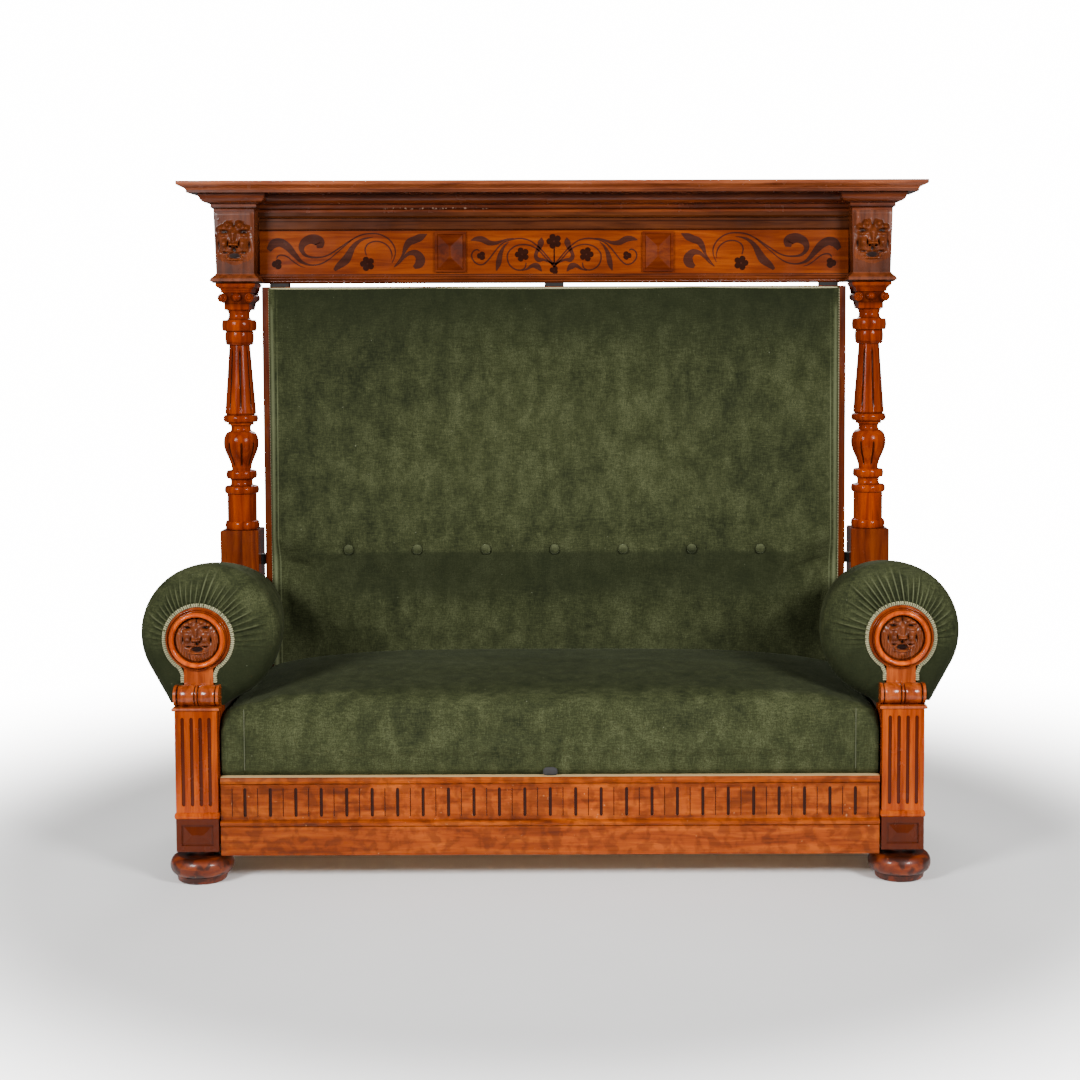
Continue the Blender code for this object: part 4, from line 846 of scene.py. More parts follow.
def braid(path: Array, lift: Array, width: float, height: float, pitch: float) -> tuple[Array, Array]:
    """Grid and tone of a flat braid that runs along a path.

    Across the braid its height follows a flat arch; along it two slanted strands alternate every
    pitch, so that ridges meet in a herringbone.

    Args:
        path: Rows of points on its centre line.
        lift: Direction that the braid's face looks in.
        width: Its width.
        height: Its thickness.
        pitch: Length of one strand's turn.

    Returns:
        The grid, closed round the braid, and its tone.
    """
    along = np.gradient(path, axis=0)
    along /= np.linalg.norm(along, axis=1, keepdims=True)
    across = np.cross(along, lift)
    across /= np.linalg.norm(across, axis=1, keepdims=True)
    length = np.concatenate([[0.0], np.cumsum(np.linalg.norm(np.diff(path, axis=0), axis=1))])
    w = np.linspace(-1.0, 1.0, 11)
    ridge = np.abs(np.sin(np.pi * (length[:, None] / pitch + 0.25 * np.abs(w))))
    crown = np.sqrt(np.maximum(0.0, 1.0 - 0.92 * w**4))
    rise = height * crown * (0.55 + 0.45 * ridge)
    edge = 1.0 + 0.10 * np.abs(np.sin(np.pi * length[:, None] / pitch))
    face = path[:, None] + across[:, None] * (w * width / 2 * edge)[..., None] + lift * rise[..., None]
    back = path[:, None] + across[:, None] * (w[::-1] * width / 2 * edge)[..., None]
    tone = np.concatenate([1.0 - ridge**1.5, np.zeros_like(ridge)], axis=1)
    grid = np.concatenate([face, back], axis=1)
    ends = np.repeat(path[[0, -1]][:, None], grid.shape[1], axis=1)
    grid = np.concatenate([ends[:1], grid, ends[1:]])
    return grid, np.concatenate([tone[:1], tone, tone[-1:]])


# Carving


@dataclass(frozen=True)
class LionMask:
    """Carved lion's face, as heights over (u, v): one unit is half the face's width, v = 0 above the nose.

    Each feature is a bell of (height, u, v, spread across, spread up); all but those on the centre line
    come in pairs. Outside the face's oval the mane falls in combed strands.
    """

    paired: tuple[tuple[float, ...], ...] = (
        (0.36, 0.30, 0.70, 0.14, 0.13),
        (0.28, 0.64, 0.54, 0.13, 0.10),
        (-0.42, 0.47, 0.36, 0.17, 0.075),
        (0.20, 0.46, 0.335, 0.085, 0.045),
        (0.22, 0.52, 0.19, 0.16, 0.08),
        (0.44, 0.46, -0.22, 0.23, 0.22),
        (0.22, 0.15, -0.27, 0.10, 0.09),
        (-0.40, 0.150, -0.37, 0.060, 0.045),
        (-0.28, 0.285, -0.20, 0.045, 0.15),
        (-0.30, 0.74, -0.28, 0.06, 0.22),
        (-0.30, 0.44, -0.66, 0.16, 0.05),
        (0.26, 0.36, -0.86, 0.050, 0.070),
    )
    single: tuple[tuple[float, ...], ...] = (
        (0.34, 0.0, 0.32, 0.190, 0.22),
        (0.30, 0.0, 0.00, 0.105, 0.22),
        (0.40, 0.0, -0.28, 0.170, 0.09),
        (-0.45, 0.0, -0.52, 0.085, 0.10),
        (-1.00, 0.0, -0.80, 0.240, 0.105),
        (0.36, 0.0, -0.985, 0.340, 0.055),
        (0.18, 0.0, -1.18, 0.260, 0.13),
        (-0.22, 0.0, 0.74, 0.060, 0.18),
    )
    combs: float = 30.0
    strands: float = 0.055

    def height(self, u: Array, v: Array) -> Array:
        """Relief over face coordinates, about 1 at the nose.

        Args:
            u: Place across the face.
            v: Place up the face.

        Returns:
            Heights of the same shape.
        """
        side = np.abs(u)
        total = 0.34 * np.clip(1.0 - (u**2 + (v + 0.2) ** 2) * 0.45, 0.0, 1.0)
        total = total + 0.12 * smoothstep(1.0 - self.oval(u, v), -0.05, 0.25)
        total = total + 1.25 * (self.bells(self.paired, side, v) + self.bells(self.single, u, v))
        return total + self.strands * self.mane(u, v)

    @staticmethod
    def bells(rows: Sequence[tuple[float, ...]], across: Array, up: Array) -> Array:
        """Sum of the features of one table."""
        table = np.array(rows)
        reach = ((across[..., None] - table[:, 1]) / table[:, 3]) ** 2
        reach = reach + ((up[..., None] - table[:, 2]) / table[:, 4]) ** 2
        return np.exp(-reach) @ table[:, 0]

    def shade(self, u: Array, v: Array) -> Array:
        """Painted shade in the sunk features: sockets, nostrils and mouth, 1 where deepest."""
        sunk = [[row for row in rows if row[0] < -0.2] for rows in (self.paired, self.single)]
        depth = self.bells(sunk[0], np.abs(u), v) + self.bells(sunk[1], u, v)
        return np.clip(-3.0 * depth - 0.35, 0.0, 1.0)

    @staticmethod
    def oval(u: Array, v: Array) -> Array:
        """Distance from the face's centre, 1 along its outline."""
        return np.hypot(u / 0.84, (v + 0.12) / 1.08)

    def mane(self, u: Array, v: Array) -> Array:
        """Combed strands from -1 to 1: fanned over the brow, falling straight beside and below."""
        oval = self.oval(u, v)
        outside = smoothstep(oval, 0.88, 1.04)
        fan = np.sin(self.combs * np.arctan2(u, v + 0.5) + 3.0 * np.sin(4.0 * oval))
        fall = np.sin(1.3 * self.combs * u + 1.6 * np.sin(5.0 * v + 2.0 * np.abs(u)))
        low = smoothstep(-v, -0.30, 0.20)
        beard = smoothstep(-v, 1.08, 1.22)
        return np.maximum(outside, beard) * (fan * (1 - low) + fall * low)


@dataclass
class ArmMedallion:
    """Turned ring on an arm's facing, with a lion mask in its dish.

    The mask's size and lift are shares of the dish's radius.
    """

    side: Side
    radius: float = 0.0735
    inside: float = 0.0530
    depth: float = 0.024
    dish: float = 0.0060
    mask_size: float = 0.83
    mask_lift: float = 0.265
    mask: LionMask = LionMask()

    def build(self, wood: Material, carved: Material) -> None:
        """Makes the ring and the mask in place of the frame's medallion."""
        node = f"arm_medallion_{self.side.tag}"
        low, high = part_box(node)
        centre = np.array([(low.x + high.x) / 2, high.y, (low.z + high.z) / 2])
        profile = self.profile()
        ring = facing(lathe(profile, 120)) + centre
        shade = np.where(profile[:, 0] < self.inside + 0.0015, 0.7, 0.0)
        shade = np.maximum(shade, 0.80 * hump(profile[:, 0], self.radius - 0.0068, 0.0008))
        shade = np.maximum(shade, 0.65 * (profile[:, 0] > self.radius - 0.0067))
        surface = Surface().grid(ring, Wrap.COLUMNS, padded_tone(shade))
        surface.place(f"medallion_ring_{self.side.tag}", wood, "polished_walnut", replaced=[node], sharp=50)
        face, tone = self.face(centre)
        surface = Surface().grid(face, Wrap.COLUMNS, tone)
        surface.place(f"lion_mask_{self.side.tag}", carved, "polished_walnut", sharp=50)

    def profile(self) -> Array:
        """Profile of the ring, from its rim in: bead, sloping ovolo, groove and a high torus."""
        turn, t = np.linspace(0.0, np.pi, 24)[:, None], np.linspace(0.0, 1.0, 10)[:, None]
        bead = np.hstack([self.radius - 0.0017 + 0.0017 * np.cos(turn), 0.0040 + 0.0030 * np.sin(turn)])
        slope = np.hstack([self.radius - 0.0036 - 0.0030 * t, 0.0045 + 0.0045 * np.sin(np.pi / 2 * t)])
        torus = np.hstack([0.0602 + 0.0064 * np.cos(turn), 0.0085 + 0.0125 * np.sin(turn)])
        groove = [(self.radius - 0.0068, 0.0070)]
        return np.vstack([[(self.radius, 0.0)], bead, slope, groove, torus, [(self.inside, self.dish)]])

    def face(self, centre: Array) -> tuple[Array, Array]:
        """Polar grid of the mask: rings of (u, v) raised towards the viewer by the relief."""
        radius = np.linspace(0.0, 1.0, 92)[:, None]
        angle = np.linspace(0.0, 2 * np.pi, 220, endpoint=False)
        u, v = radius * np.cos(angle), radius * np.sin(angle)
        across, up = u / self.mask_size, (v - self.mask_lift) / self.mask_size
        height = np.maximum(self.mask.height(across, up), 0.0)
        height = 0.10 + 0.95 * height / height.max()
        height = height * smoothstep(1.0 - radius, -0.02, 0.10)
        x, z = centre[0] + self.inside * u, centre[2] + self.inside * v
        y = centre[1] - self.dish - self.depth * height
        # Painted shade in the hollows, in the sunk features and round the mask's rim, and painted highlight
        # on the rises.
        tone = 0.05 + cavity(height, 5.5, 10, 0.8) + 0.5 * smoothstep(radius, 0.9, 1.0)
        tone = np.clip(tone + 0.9 * self.mask.shade(across, up), -1.0, 1.0)
        return stacked(x, y, z), tone


# Front of the arms


@dataclass
class FrontSupport:
    """Bun foot, fluted post and scroll that carry the front of an arm.

    The scroll's lobes and bead have their places and half widths as shares of its half width.
    """

    side: Side
    foot_height: float = 0.0777
    foot_radius: float = 0.0745
    cap: float = 0.008
    cap_reach: float = 0.0025
    roll_depth: float = 0.026
    lobe_place: float = 0.46
    lobe_half: float = 0.375
    bead_half: float = 0.055
    hollow: float = 0.70

    def build(self, wood: Material, wear_and_sheen: Material, post: Material) -> None:
        """Turns the foot, carves the scroll and finishes the post and the facing."""
        tag = self.side.tag
        node = f"front_foot_{tag}"
        low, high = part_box(node)
        profile = turnings(
            [
                (Turning.CONE, 0.0030, 0.0540, 0.0570),
                (Turning.CONE, 0.0130, 0.0572, 0.0600),
                (Turning.BULGE, 0.0460, 0.0560, self.foot_radius),
                (Turning.BULGE, self.foot_height - 0.0620, 0.0400, 0.0300),
            ],
            22,
        )
        centre = np.array([(low.x + high.x) / 2, (low.y + high.y) / 2, low.z])
        grid = lathe(profile, 96) + centre
        Surface().grid(grid, Wrap.COLUMNS, padded_tone(painted_recess_shade(profile))).place(
            f"bun_foot_{tag}", wear_and_sheen, "polished_walnut", replaced=[node]
        )
        self.scroll(wood)
        dress(f"front_post_{tag}", post)
        dress(f"arm_facing_{tag}", wood)

    def scroll(self, wood: Material) -> None:
        """Carves the scroll: two lobes with a bead between them, a fillet at each end and a cap below.

        At each place s across it the section is about half a turn, as deep and high as swell(s), which
        follows the largest of two half-circle lobes, the bead and the fillets.
        """
        node = f"front_scroll_{self.side.tag}"
        low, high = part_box(node)
        middle, half = (low.x + high.x) / 2, (high.x - low.x) / 2 - self.cap_reach
        cap, hollow = self.cap, self.hollow
        roll = (high.z - low.z - cap) / 2
        s = np.linspace(-1.0, 1.0, 171)[:, None]
        lobe = arch((np.abs(s) - self.lobe_place) / self.lobe_half)
        bead = 0.90 * arch(s / self.bead_half)
        fillet = 0.95 * smoothstep(np.abs(s), 0.872, 0.882)
        swell = hollow + (1.0 - hollow) * np.maximum(np.maximum(lobe, bead), fillet)
        turn = np.radians(np.linspace(-80.0, 112.0, 44))[None]
        depth, height = self.roll_depth * swell, roll * (0.80 + 0.20 * swell)
        y = high.y - 0.0155 - depth * np.cos(turn)
        z = np.maximum(low.z + cap + roll - (roll - height) + height * np.sin(turn), low.z + cap - 0.001)
        x = np.broadcast_to(middle + half * s, y.shape)
        skin = stacked(x, y, z)
        rear = stacked(x[:, :2], high.y, z[:, [-1, 0]])
        skin = capped(np.concatenate([skin, rear], axis=1))
        # Painted shade in the hollows between the lobes and the bead.
        dark = np.clip(1.0 - (swell - hollow) / 0.14, 0.0, 0.9)
        dark = np.concatenate([dark[:1], dark, dark[-1:]])
        path = block_plan(middle, half + self.cap_reach, low.y + 0.002, high.y)
        strip = [(-0.002, 0.0), (0.0, 0.0015), (0.0008, 0.004), (0.0, 0.0065), (-0.002, cap)]
        board = moulded(path, np.array(strip) + (0.0, low.z), high.y)
        surface = Surface().grid(skin, Wrap.COLUMNS, dark).grid(board, Wrap.ROWS)
        surface.place(f"scroll_{self.side.tag}", wood, "polished_walnut", replaced=[node], sharp=35)


def dress(node: str, finish: Material) -> None:
    """Gives a frame node its finish."""
    piece = bpy.data.objects[node]
    piece.data.materials.clear()
    piece.data.materials.append(finish)


# Columns


@dataclass
class ColumnOrder:
    """Turned column with its capital and the lion block over it."""

    side: Side
    flutes: int = 8
    flute_width: float = 0.0060
    flute_depth: float = 0.0036
    phase: float = 0.25
    volute: float = 0.0117
    volute_offset: float = 0.0352
    axis_depth: float = 0.050
    mask_unit: float = 0.0530
    mask_drop: float = 0.0716
    relief: float = 0.034
    mask: LionMask = LionMask(strands=0.015)

    def build(self, wood: Material, carved: Material, post: Material) -> None:
        """Makes the three pieces in place of the frame's and finishes the post below."""
        self.column(wood)
        self.capital(wood)
        self.block(carved)
        dress(f"rear_post_{self.side.tag}", post)

    def column(self, wood: Material) -> None:
        """Turned shaft: radius(height) less the flutes, which are half-round in section."""
        node = f"column_{self.side.tag}"
        low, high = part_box(node)
        below = [
            (Turning.BULGE, 0.0225, 0.0400, 0.0448),
            (Turning.CONE, 0.0725, 0.0382, 0.0382),
            (Turning.BULGE, 0.0200, 0.0400, 0.0452),
            (Turning.BULGE, 0.0200, 0.0340, 0.0280),
            (Turning.BULGE, 0.0210, 0.0360, 0.0403),
            (Turning.OGEE, 0.0730, 0.0253, 0.0457),
            (Turning.DOME, 0.0300, 0.0457, 0.0300),
            (Turning.BULGE, 0.0180, 0.0310, 0.0254),
            (Turning.CONE, 0.0070, 0.0336, 0.0336),
            (Turning.BULGE, 0.0190, 0.0400, 0.0454),
            (Turning.CONE, 0.0050, 0.0360, 0.0405),
        ]
        above = [
            (Turning.CONE, 0.0060, 0.0316, 0.0374),
            (Turning.BULGE, 0.0310, 0.0345, 0.0374),
            (Turning.BULGE, 0.0295, 0.0410, 0.0453),
            (Turning.BULGE, 0.0257, 0.0345, 0.0270),
        ]
        foot = sum(row[1] for row in below)
        shaft = high.z - low.z - foot - sum(row[1] for row in above)
        profile = turnings([*below, (Turning.CONE, shaft, 0.0405, 0.0270), *above], 18)
        grid = lathe(profile, self.flutes * 28)
        vase = sum(row[1] for row in below[:5])
        rise = np.concatenate([profile[:1, 1], profile[:, 1], profile[-1:, 1]])
        run = smoothstep(rise, foot + 0.05 * shaft, foot + 0.07 * shaft)
        run = run * smoothstep(-rise, -foot - 0.95 * shaft, -foot - 0.93 * shaft)
        swell = smoothstep(rise, vase + 0.010, vase + 0.016) * smoothstep(-rise, -vase - 0.078, -vase - 0.070)
        run = np.maximum(run, swell)[:, None]
        radius = np.hypot(grid[..., 0], grid[..., 1])
        turn = np.arctan2(grid[..., 1], grid[..., 0]) * self.flutes / (2 * np.pi) - self.phase
        away = np.abs(turn - np.round(turn)) * 2 * np.pi / self.flutes * radius
        groove = arch(away / (self.flute_width / 2)) * run
        grid[..., :2] *= (1.0 - self.flute_depth * groove / np.maximum(radius, 1e-6))[..., None]
        # Painted shade in the turnings' recesses and in the flutes; the vase is a little darker.
        tone = np.maximum(padded_tone(painted_recess_shade(profile)), 0.85 * np.minimum(1.0, groove * 1.4))
        tone = np.maximum(tone, 0.22 * swell[:, None])
        grid += np.array([(low.x + high.x) / 2, (low.y + high.y) / 2, low.z])
        surface = Surface().grid(grid, Wrap.COLUMNS, tone)
        surface.place(f"turned_column_{self.side.tag}", wood, "polished_walnut", replaced=[node], sharp=38)

    def capital(self, wood: Material) -> None:
        """Square capital: neck, bolsters that end in volutes, an egg between them, ogee and abacus."""
        node = f"capital_{self.side.tag}"
        low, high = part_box(node)
        middle, back = (low.x + high.x) / 2, high.y
        centre_y = back - self.axis_depth
        t = np.linspace(0.0, 1.0, 14)
        ogee = stacked(0.0405 + 0.0105 * (1 - np.cos(np.pi * t)) / 2, 0.0510 + 0.0125 * t)
        rows = [(0.0315, 0.0), (0.0325, 0.001), (0.0325, 0.017), (0.0360, 0.0172), (0.0360, 0.0448)]
        rows += [(0.0395, 0.045), (0.0400, 0.0455), (0.0400, 0.051)]
        head = high.z - low.z
        rows = np.vstack([rows, ogee, [(0.0515, 0.0640), (0.0515, head - 0.001), (0.0505, head)]])
        core = 0.020
        path = block_plan(middle, core, centre_y - core, back)
        slab = moulded(path, rows - (core, 0.0) + (0.0, low.z), back)
        # Painted shade on the neck and its steps under the bolsters.
        dark = np.isin(np.arange(len(rows)), (2, 3, 4, 5, 7)).astype(float) * 0.6
        surface = Surface().grid(slab, Wrap.ROWS, padded_tone(dark))
        band = low.z + 0.031
        roll = turnings(
            [
                (Turning.CONE, 0.012, self.volute, self.volute),
                (Turning.BULGE, 0.076, self.volute, self.volute - 0.003),
                (Turning.CONE, 0.010, self.volute, self.volute),
            ]
        )
        for side in (-1, 1):
            eye = np.array([middle + side * self.volute_offset, centre_y + 0.0495, band])
            surface.grid(facing(lathe(roll, 64)) + eye, Wrap.COLUMNS)
            grid, tone = self.spiral(side)
            surface.grid(grid + eye - (0.0, 0.0980, 0.0), Wrap.COLUMNS, tone)
        a = np.linspace(0.0, np.pi, 25)[:, None]
        b = np.linspace(0.0, 2 * np.pi, 48, endpoint=False)
        ball = stacked(np.sin(a) * np.cos(b), -np.cos(a), np.sin(a) * np.sin(b))
        # The wider shell round the egg takes painted shade.
        for size, tone in (((0.0150, 0.0095, 0.0125), 0.55), ((0.0108, 0.0125, 0.0095), 0.0)):
            surface.grid(ball * size + (middle, centre_y - 0.0360, band + 0.002), Wrap.COLUMNS, tone)
        surface.place(f"ionic_capital_{self.side.tag}", wood, "polished_walnut", replaced=[node], sharp=38)

    def spiral(self, side: int) -> tuple[Array, Array]:
        """Face of a volute: a ridge that winds in along r = a - b * angle, and a round eye."""
        radius = np.linspace(0.0, 1.0, 40)[:, None]
        angle = np.linspace(0.0, 2 * np.pi, 96, endpoint=False)[None]
        wind = radius * 2.6 + side * angle / (2 * np.pi)
        ridge = np.abs(np.sin(np.pi * wind)) ** 0.7
        eye = smoothstep(-radius, -0.34, -0.22)
        height = np.maximum(ridge * (1 - eye), eye) * smoothstep(1.0 - radius, 0.0, 0.06)
        r = radius * self.volute * 0.985
        grid = stacked(r * np.cos(angle), -0.0026 * height, r * np.sin(angle))
        # Painted shade in the spiral's groove.
        return grid, np.clip(0.75 * (1.0 - height) * (radius < 0.97), 0.0, 0.75)

    @staticmethod
    def moulding() -> Array:
        """Rows of (reach from the block's axis, height) of the fillet and ogee under the block."""
        t = np.linspace(0.0, 1.0, 12)
        ogee = stacked(0.0620 - 0.0115 * (1 - np.cos(np.pi * t)) / 2, 0.0100 + 0.0145 * t)
        return np.vstack([[(0.0570, 0.0), (0.0605, 0.0040), (0.0635, 0.0045), (0.0635, 0.0095)], ogee])

    def block(self, wood: Material) -> None:
        """Block on its own moulding, with the mask carved out of its front."""
        node = f"entablature_block_{self.side.tag}"
        low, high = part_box(node)
        middle, back = (low.x + high.x) / 2, high.y
        half, foot, core = 0.0530, 0.0490, 0.030
        rows = self.moulding()
        moulding = rows[-1, 1]
        rows = np.vstack([rows, [(foot, moulding + 0.0003), (half, high.z - low.z)]])
        centre_y = back - self.axis_depth
        path = block_plan(middle, core, centre_y - core, back)
        slab = moulded(path, rows - (core, 0.0) + (0.0, low.z), back)
        # Painted shade under the moulding's lower edge and where it meets the block's face.
        dark = np.zeros(len(rows))
        dark[[0, 1, -2]] = 0.55
        surface = Surface().grid(slab, Wrap.ROWS, padded_tone(dark))
        face, tone = self.face(middle, centre_y - foot, low.z + moulding, high.z)
        surface.grid(face, tone=np.pad(tone, 2, mode="edge"))
        surface.place(f"lion_block_{self.side.tag}", wood, "polished_walnut", replaced=[node], sharp=50)

    def face(self, middle: float, plane: float, foot: float, head: float) -> tuple[Array, Array]:
        """Grid of the block's mask, ears at its upper corners and beard combed down to its foot.

        Args:
            middle: X of the block's centre.
            plane: Y of its front face at the foot.
            foot: Lowest Z of the carving.
            head: Highest Z of the carving.

        Returns:
            The closed grid and the tone of its face.
        """
        rise = np.linspace(0.0, 1.0, 190)[:, None]
        half = 0.0488 + 0.0038 * rise
        x = np.linspace(-1.0, 1.0, 120)[None] * half
        z = foot + 0.001 + (head - foot - 0.002) * rise
        u, v = x / self.mask_unit, (z - head + self.mask_drop) / self.mask_unit + 0.0 * x
        height = self.mask.height(u, v)
        height = height + 0.24 * hump(np.abs(u), 0.80, 0.13) * hump(v, 1.06, 0.15)
        height = height - 0.16 * hump(np.abs(u), 0.80, 0.06) * hump(v, 1.05, 0.08)
        fade = smoothstep(1.0 - np.abs(x) / half, -0.10, 0.22)
        beard = smoothstep(rise, 0.10, 0.36) * smoothstep(1.0 - rise, -0.02, 0.05)
        height = np.clip((height - 0.10) / 1.05, 0.05, None) * (0.25 + 0.75 * fade) * (0.06 + 0.94 * beard)
        y = plane + 0.0008 - 0.004 * rise - self.relief * height
        # Painted shade in the hollows and sunk features, painted highlight on the rises.
        tone = np.clip(0.05 + cavity(height, 5.5, 12, 0.8) + 0.9 * self.mask.shade(u, v), -1.0, 1.0)
        grid = stacked(middle + x, y, z)
        return closed_slab(grid, plane + 0.010, 1), tone


# Cornice and frieze


@dataclass
class Cornice:
    """Corona and the bed mould that breaks forward over the blocks."""

    half: float = 0.884
    inside: float = 0.778
    block_front: float = FRONT + 0.567
    recess: float = FRONT + 0.621
    mould_reach: float = 0.034
    corona_reach: float = 0.080

    def build(self, wood: Material, rubbed_and_painted_light: Material) -> None:
        """Makes both mouldings in place of the frame's."""
        low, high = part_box("cornice_bed_mould")
        back, height, reach = high.y, high.z - low.z, self.mould_reach
        front, broken = self.block_front, self.recess
        out, inside = self.half, self.inside
        path = [(-out, back), (-out, front), (-inside, front), (-inside, broken)]
        path += [(-x, y) for x, y in reversed(path)]
        a = np.linspace(0.0, np.pi / 2, 16)
        ovolo = stacked(reach * (0.42 + 0.52 * np.sin(a)), height * (0.93 - 0.45 * np.cos(a)))
        foot = [(0.0, 0.0), (0.0, 0.12), (0.05, 0.16), (0.18, 0.22), (0.18, 0.40), (0.30, 0.42), (0.42, 0.46)]
        head = [(reach, 0.935 * height), (reach, height)]
        rows = np.vstack([np.array(foot) * (reach, height), ovolo, head])
        # Painted shade in the bed mould's steps and hollows.
        dark = np.zeros(len(rows))
        dark[[2, 3, 5, 6]] = 0.7
        grid = moulded(path, rows + (0.0, low.z), back)
        Surface().grid(grid, Wrap.ROWS, padded_tone(dark)).place(
            "bed_mould", rubbed_and_painted_light, "polished_walnut", replaced=["cornice_bed_mould"], sharp=30
        )
        low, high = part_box("cornice_corona")
        rise, start = high.z - low.z, reach + 0.025
        s = np.linspace(0.0, 1.0, 20)
        swing = (self.corona_reach - start) * (1 - np.cos(np.pi * s)) / 2
        cyma = stacked(start + swing, rise * (0.24 + 0.50 * s))
        rows = np.vstack([[(start - 0.001, 0.0), (start - 0.001, 0.20 * rise)], cyma])
        rows = np.vstack([rows, [(self.corona_reach, 0.76 * rise), (self.corona_reach, 0.985 * rise)]])
        rows = np.vstack([rows, [(self.corona_reach - 0.0006, rise)]])
        # Painted shade under the corona's overhang.
        dark = np.zeros(len(rows))
        dark[:3] = 0.6
        grid = moulded(block_plan(0.0, out, front, back), rows + (0.0, low.z), back)
        Surface().grid(grid, Wrap.ROWS, padded_tone(dark)).place(
            "corona", wood, "polished_walnut", replaced=["cornice_corona"], sharp=30
        )


@dataclass
class Frieze:
    """Veneered frieze with dark scroll inlay, raised pyramids and the moulding below."""

    face: float = FRONT + 0.637
    panel_low: float = 1.4498
    panel_end: float = 0.7777
    pyramid_x: float = 0.274
    pyramid_half: float = 0.0405
    thickness: float = 0.0004
    let_in: float = 0.0005
    # Strokes as rows of (place along the panel, place up it, half width), in thousandths of the
    # panel's own length; flowers and buds as (place along, place up, radius, petals).
    side_strokes: tuple = (
        ((344, 148, 16), (340, 184, 30), (296, 199, 27), (252, 178, 22), (239, 140, 14), (268, 104, 8),
         (326, 95, 5), (385, 106, 4), (451, 146, 4), (517, 190, 4), (575, 220, 4), (627, 229, 4),
         (685, 225, 4), (736, 198, 4), (768, 154, 4), (772, 110, 3), (754, 63, 2)),
        ((52, 136, 14), (80, 172, 25), (118, 180, 24), (160, 156, 22), (196, 115, 16), (232, 75, 10),
         (270, 56, 6), (312, 52, 4), (356, 62, 4), (400, 88, 3), (443, 124, 3), (487, 161, 3), (531, 198, 2)),
        ((96, 88, 3), (104, 104, 4), (125, 109, 4), (158, 99, 4), (194, 70, 3), (231, 46, 3), (260, 38, 1)),
        ((424, 22, 8), (451, 48, 18), (487, 77, 24), (509, 110, 21), (531, 150, 15), (560, 181, 10),
         (597, 200, 6), (648, 209, 1)),
        ((608, 106, 3), (601, 136, 4), (612, 165, 4), (641, 182, 4), (678, 185, 4), (714, 172, 4),
         (740, 147, 4), (754, 110, 3), (750, 84, 1)),
        ((765, 40, 2), (795, 77, 4), (817, 110, 7), (831, 147, 14), (853, 180, 20), (890, 196, 21),
         (919, 209, 20), (955, 226, 2)),
        ((765, 37, 1), (795, 62, 4), (824, 95, 7), (853, 117, 12), (890, 118, 19), (915, 88, 26),
         (908, 58, 26), (879, 36, 10)),
    )
    side_flowers: tuple = ((613, 58, 42, 5), (99, 57, 30, 3))
    middle_strokes: tuple = (
        ((499, 143, 3), (499, 66, 3)),
        ((429, 203, 2), (426, 180, 17), (418, 152, 14), (401, 122, 10), (396, 96, 11), (411, 78, 13),
         (439, 78, 7), (470, 66, 6), (496, 52, 5)),
        ((496, 54, 5), (471, 84, 4), (439, 122, 4), (404, 157, 4), (362, 186, 4), (313, 198, 4),
         (264, 193, 4), (214, 175, 4), (179, 143, 4), (151, 108, 4), (126, 77, 4), (95, 52, 4),
         (63, 56, 4), (39, 80, 4), (33, 105, 4), (42, 126, 4), (63, 136, 4), (77, 129, 3)),
        ((28, 188, 2), (60, 196, 13), (95, 193, 17), (130, 175, 15), (165, 172, 11), (200, 182, 7),
         (235, 194, 4), (271, 199, 2)),
        ((172, 17, 3), (183, 52, 14), (190, 87, 15), (200, 122, 11), (218, 154, 6), (242, 178, 2)),
        ((488, 52, 4), (453, 87, 4), (418, 126, 4), (376, 154, 4), (327, 164, 4), (278, 154, 4),
         (242, 122, 4), (235, 87, 4), (246, 52, 4), (274, 27, 4), (309, 20, 4), (334, 34, 4), (341, 62, 3)),
        ((316, 17, 2), (348, 27, 6), (376, 45, 11), (404, 41, 17), (429, 13, 3)),
    )
    middle_flowers: tuple = ((318, 108, 41, 5), (88, 101, 25, 3))
    centre_flowers: tuple = ((499, 182, 43, 5), (499, 52, 16, 4), (499, 20, 25, 3))

    def build(
        self,
        veneer: Material,
        wood: Material,
        raised: Material,
        inlay: Material,
    ) -> None:
        """Finishes the boards and lays the inlay into the three panels."""
        dress("frieze_board", veneer)
        self.foot(wood)
        for side in Side:
            dress(f"frieze_pyramid_{side.tag}", raised)
        surface = Surface()
        edge = self.pyramid_x + self.pyramid_half
        width = self.panel_end - edge
        for mirror in (1, -1):
            self.panel(surface, -self.panel_end, width, self.side_strokes, self.side_flowers, mirror)
        inner = self.pyramid_x - self.pyramid_half
        for mirror in (1, -1):
            self.panel(surface, -inner, 2 * inner, self.middle_strokes, self.middle_flowers, mirror)
        self.panel(surface, -inner, 2 * inner, (), self.centre_flowers, 1)
        surface.place("frieze_inlay", inlay, "frieze_veneer")

    def foot(self, wood: Material) -> None:
        """Bottom moulding of bead, band and fillet, its ends coped to the blocks' mouldings."""
        node = "frieze_bottom_moulding"
        low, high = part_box(node)
        top = high.z - low.z
        turn = np.linspace(0.0, np.pi, 11)[:, None]
        bead = np.hstack([0.0120 + 0.0030 * np.sin(turn), 0.0050 - 0.0025 * np.cos(turn)])
        band = np.hstack([0.0088 + 0.0026 * np.sin(turn), 0.0130 - 0.0034 * np.cos(turn)])
        fillet = [(0.0060, 0.0170), (0.0076, 0.0176), (0.0075, 0.0212), (0.0036, 0.0219), (0.0036, top)]
        rows = np.vstack([[(0.0090, 0.0), (0.0110, 0.0020)], bead, [(0.0092, 0.0083)], band, fillet])
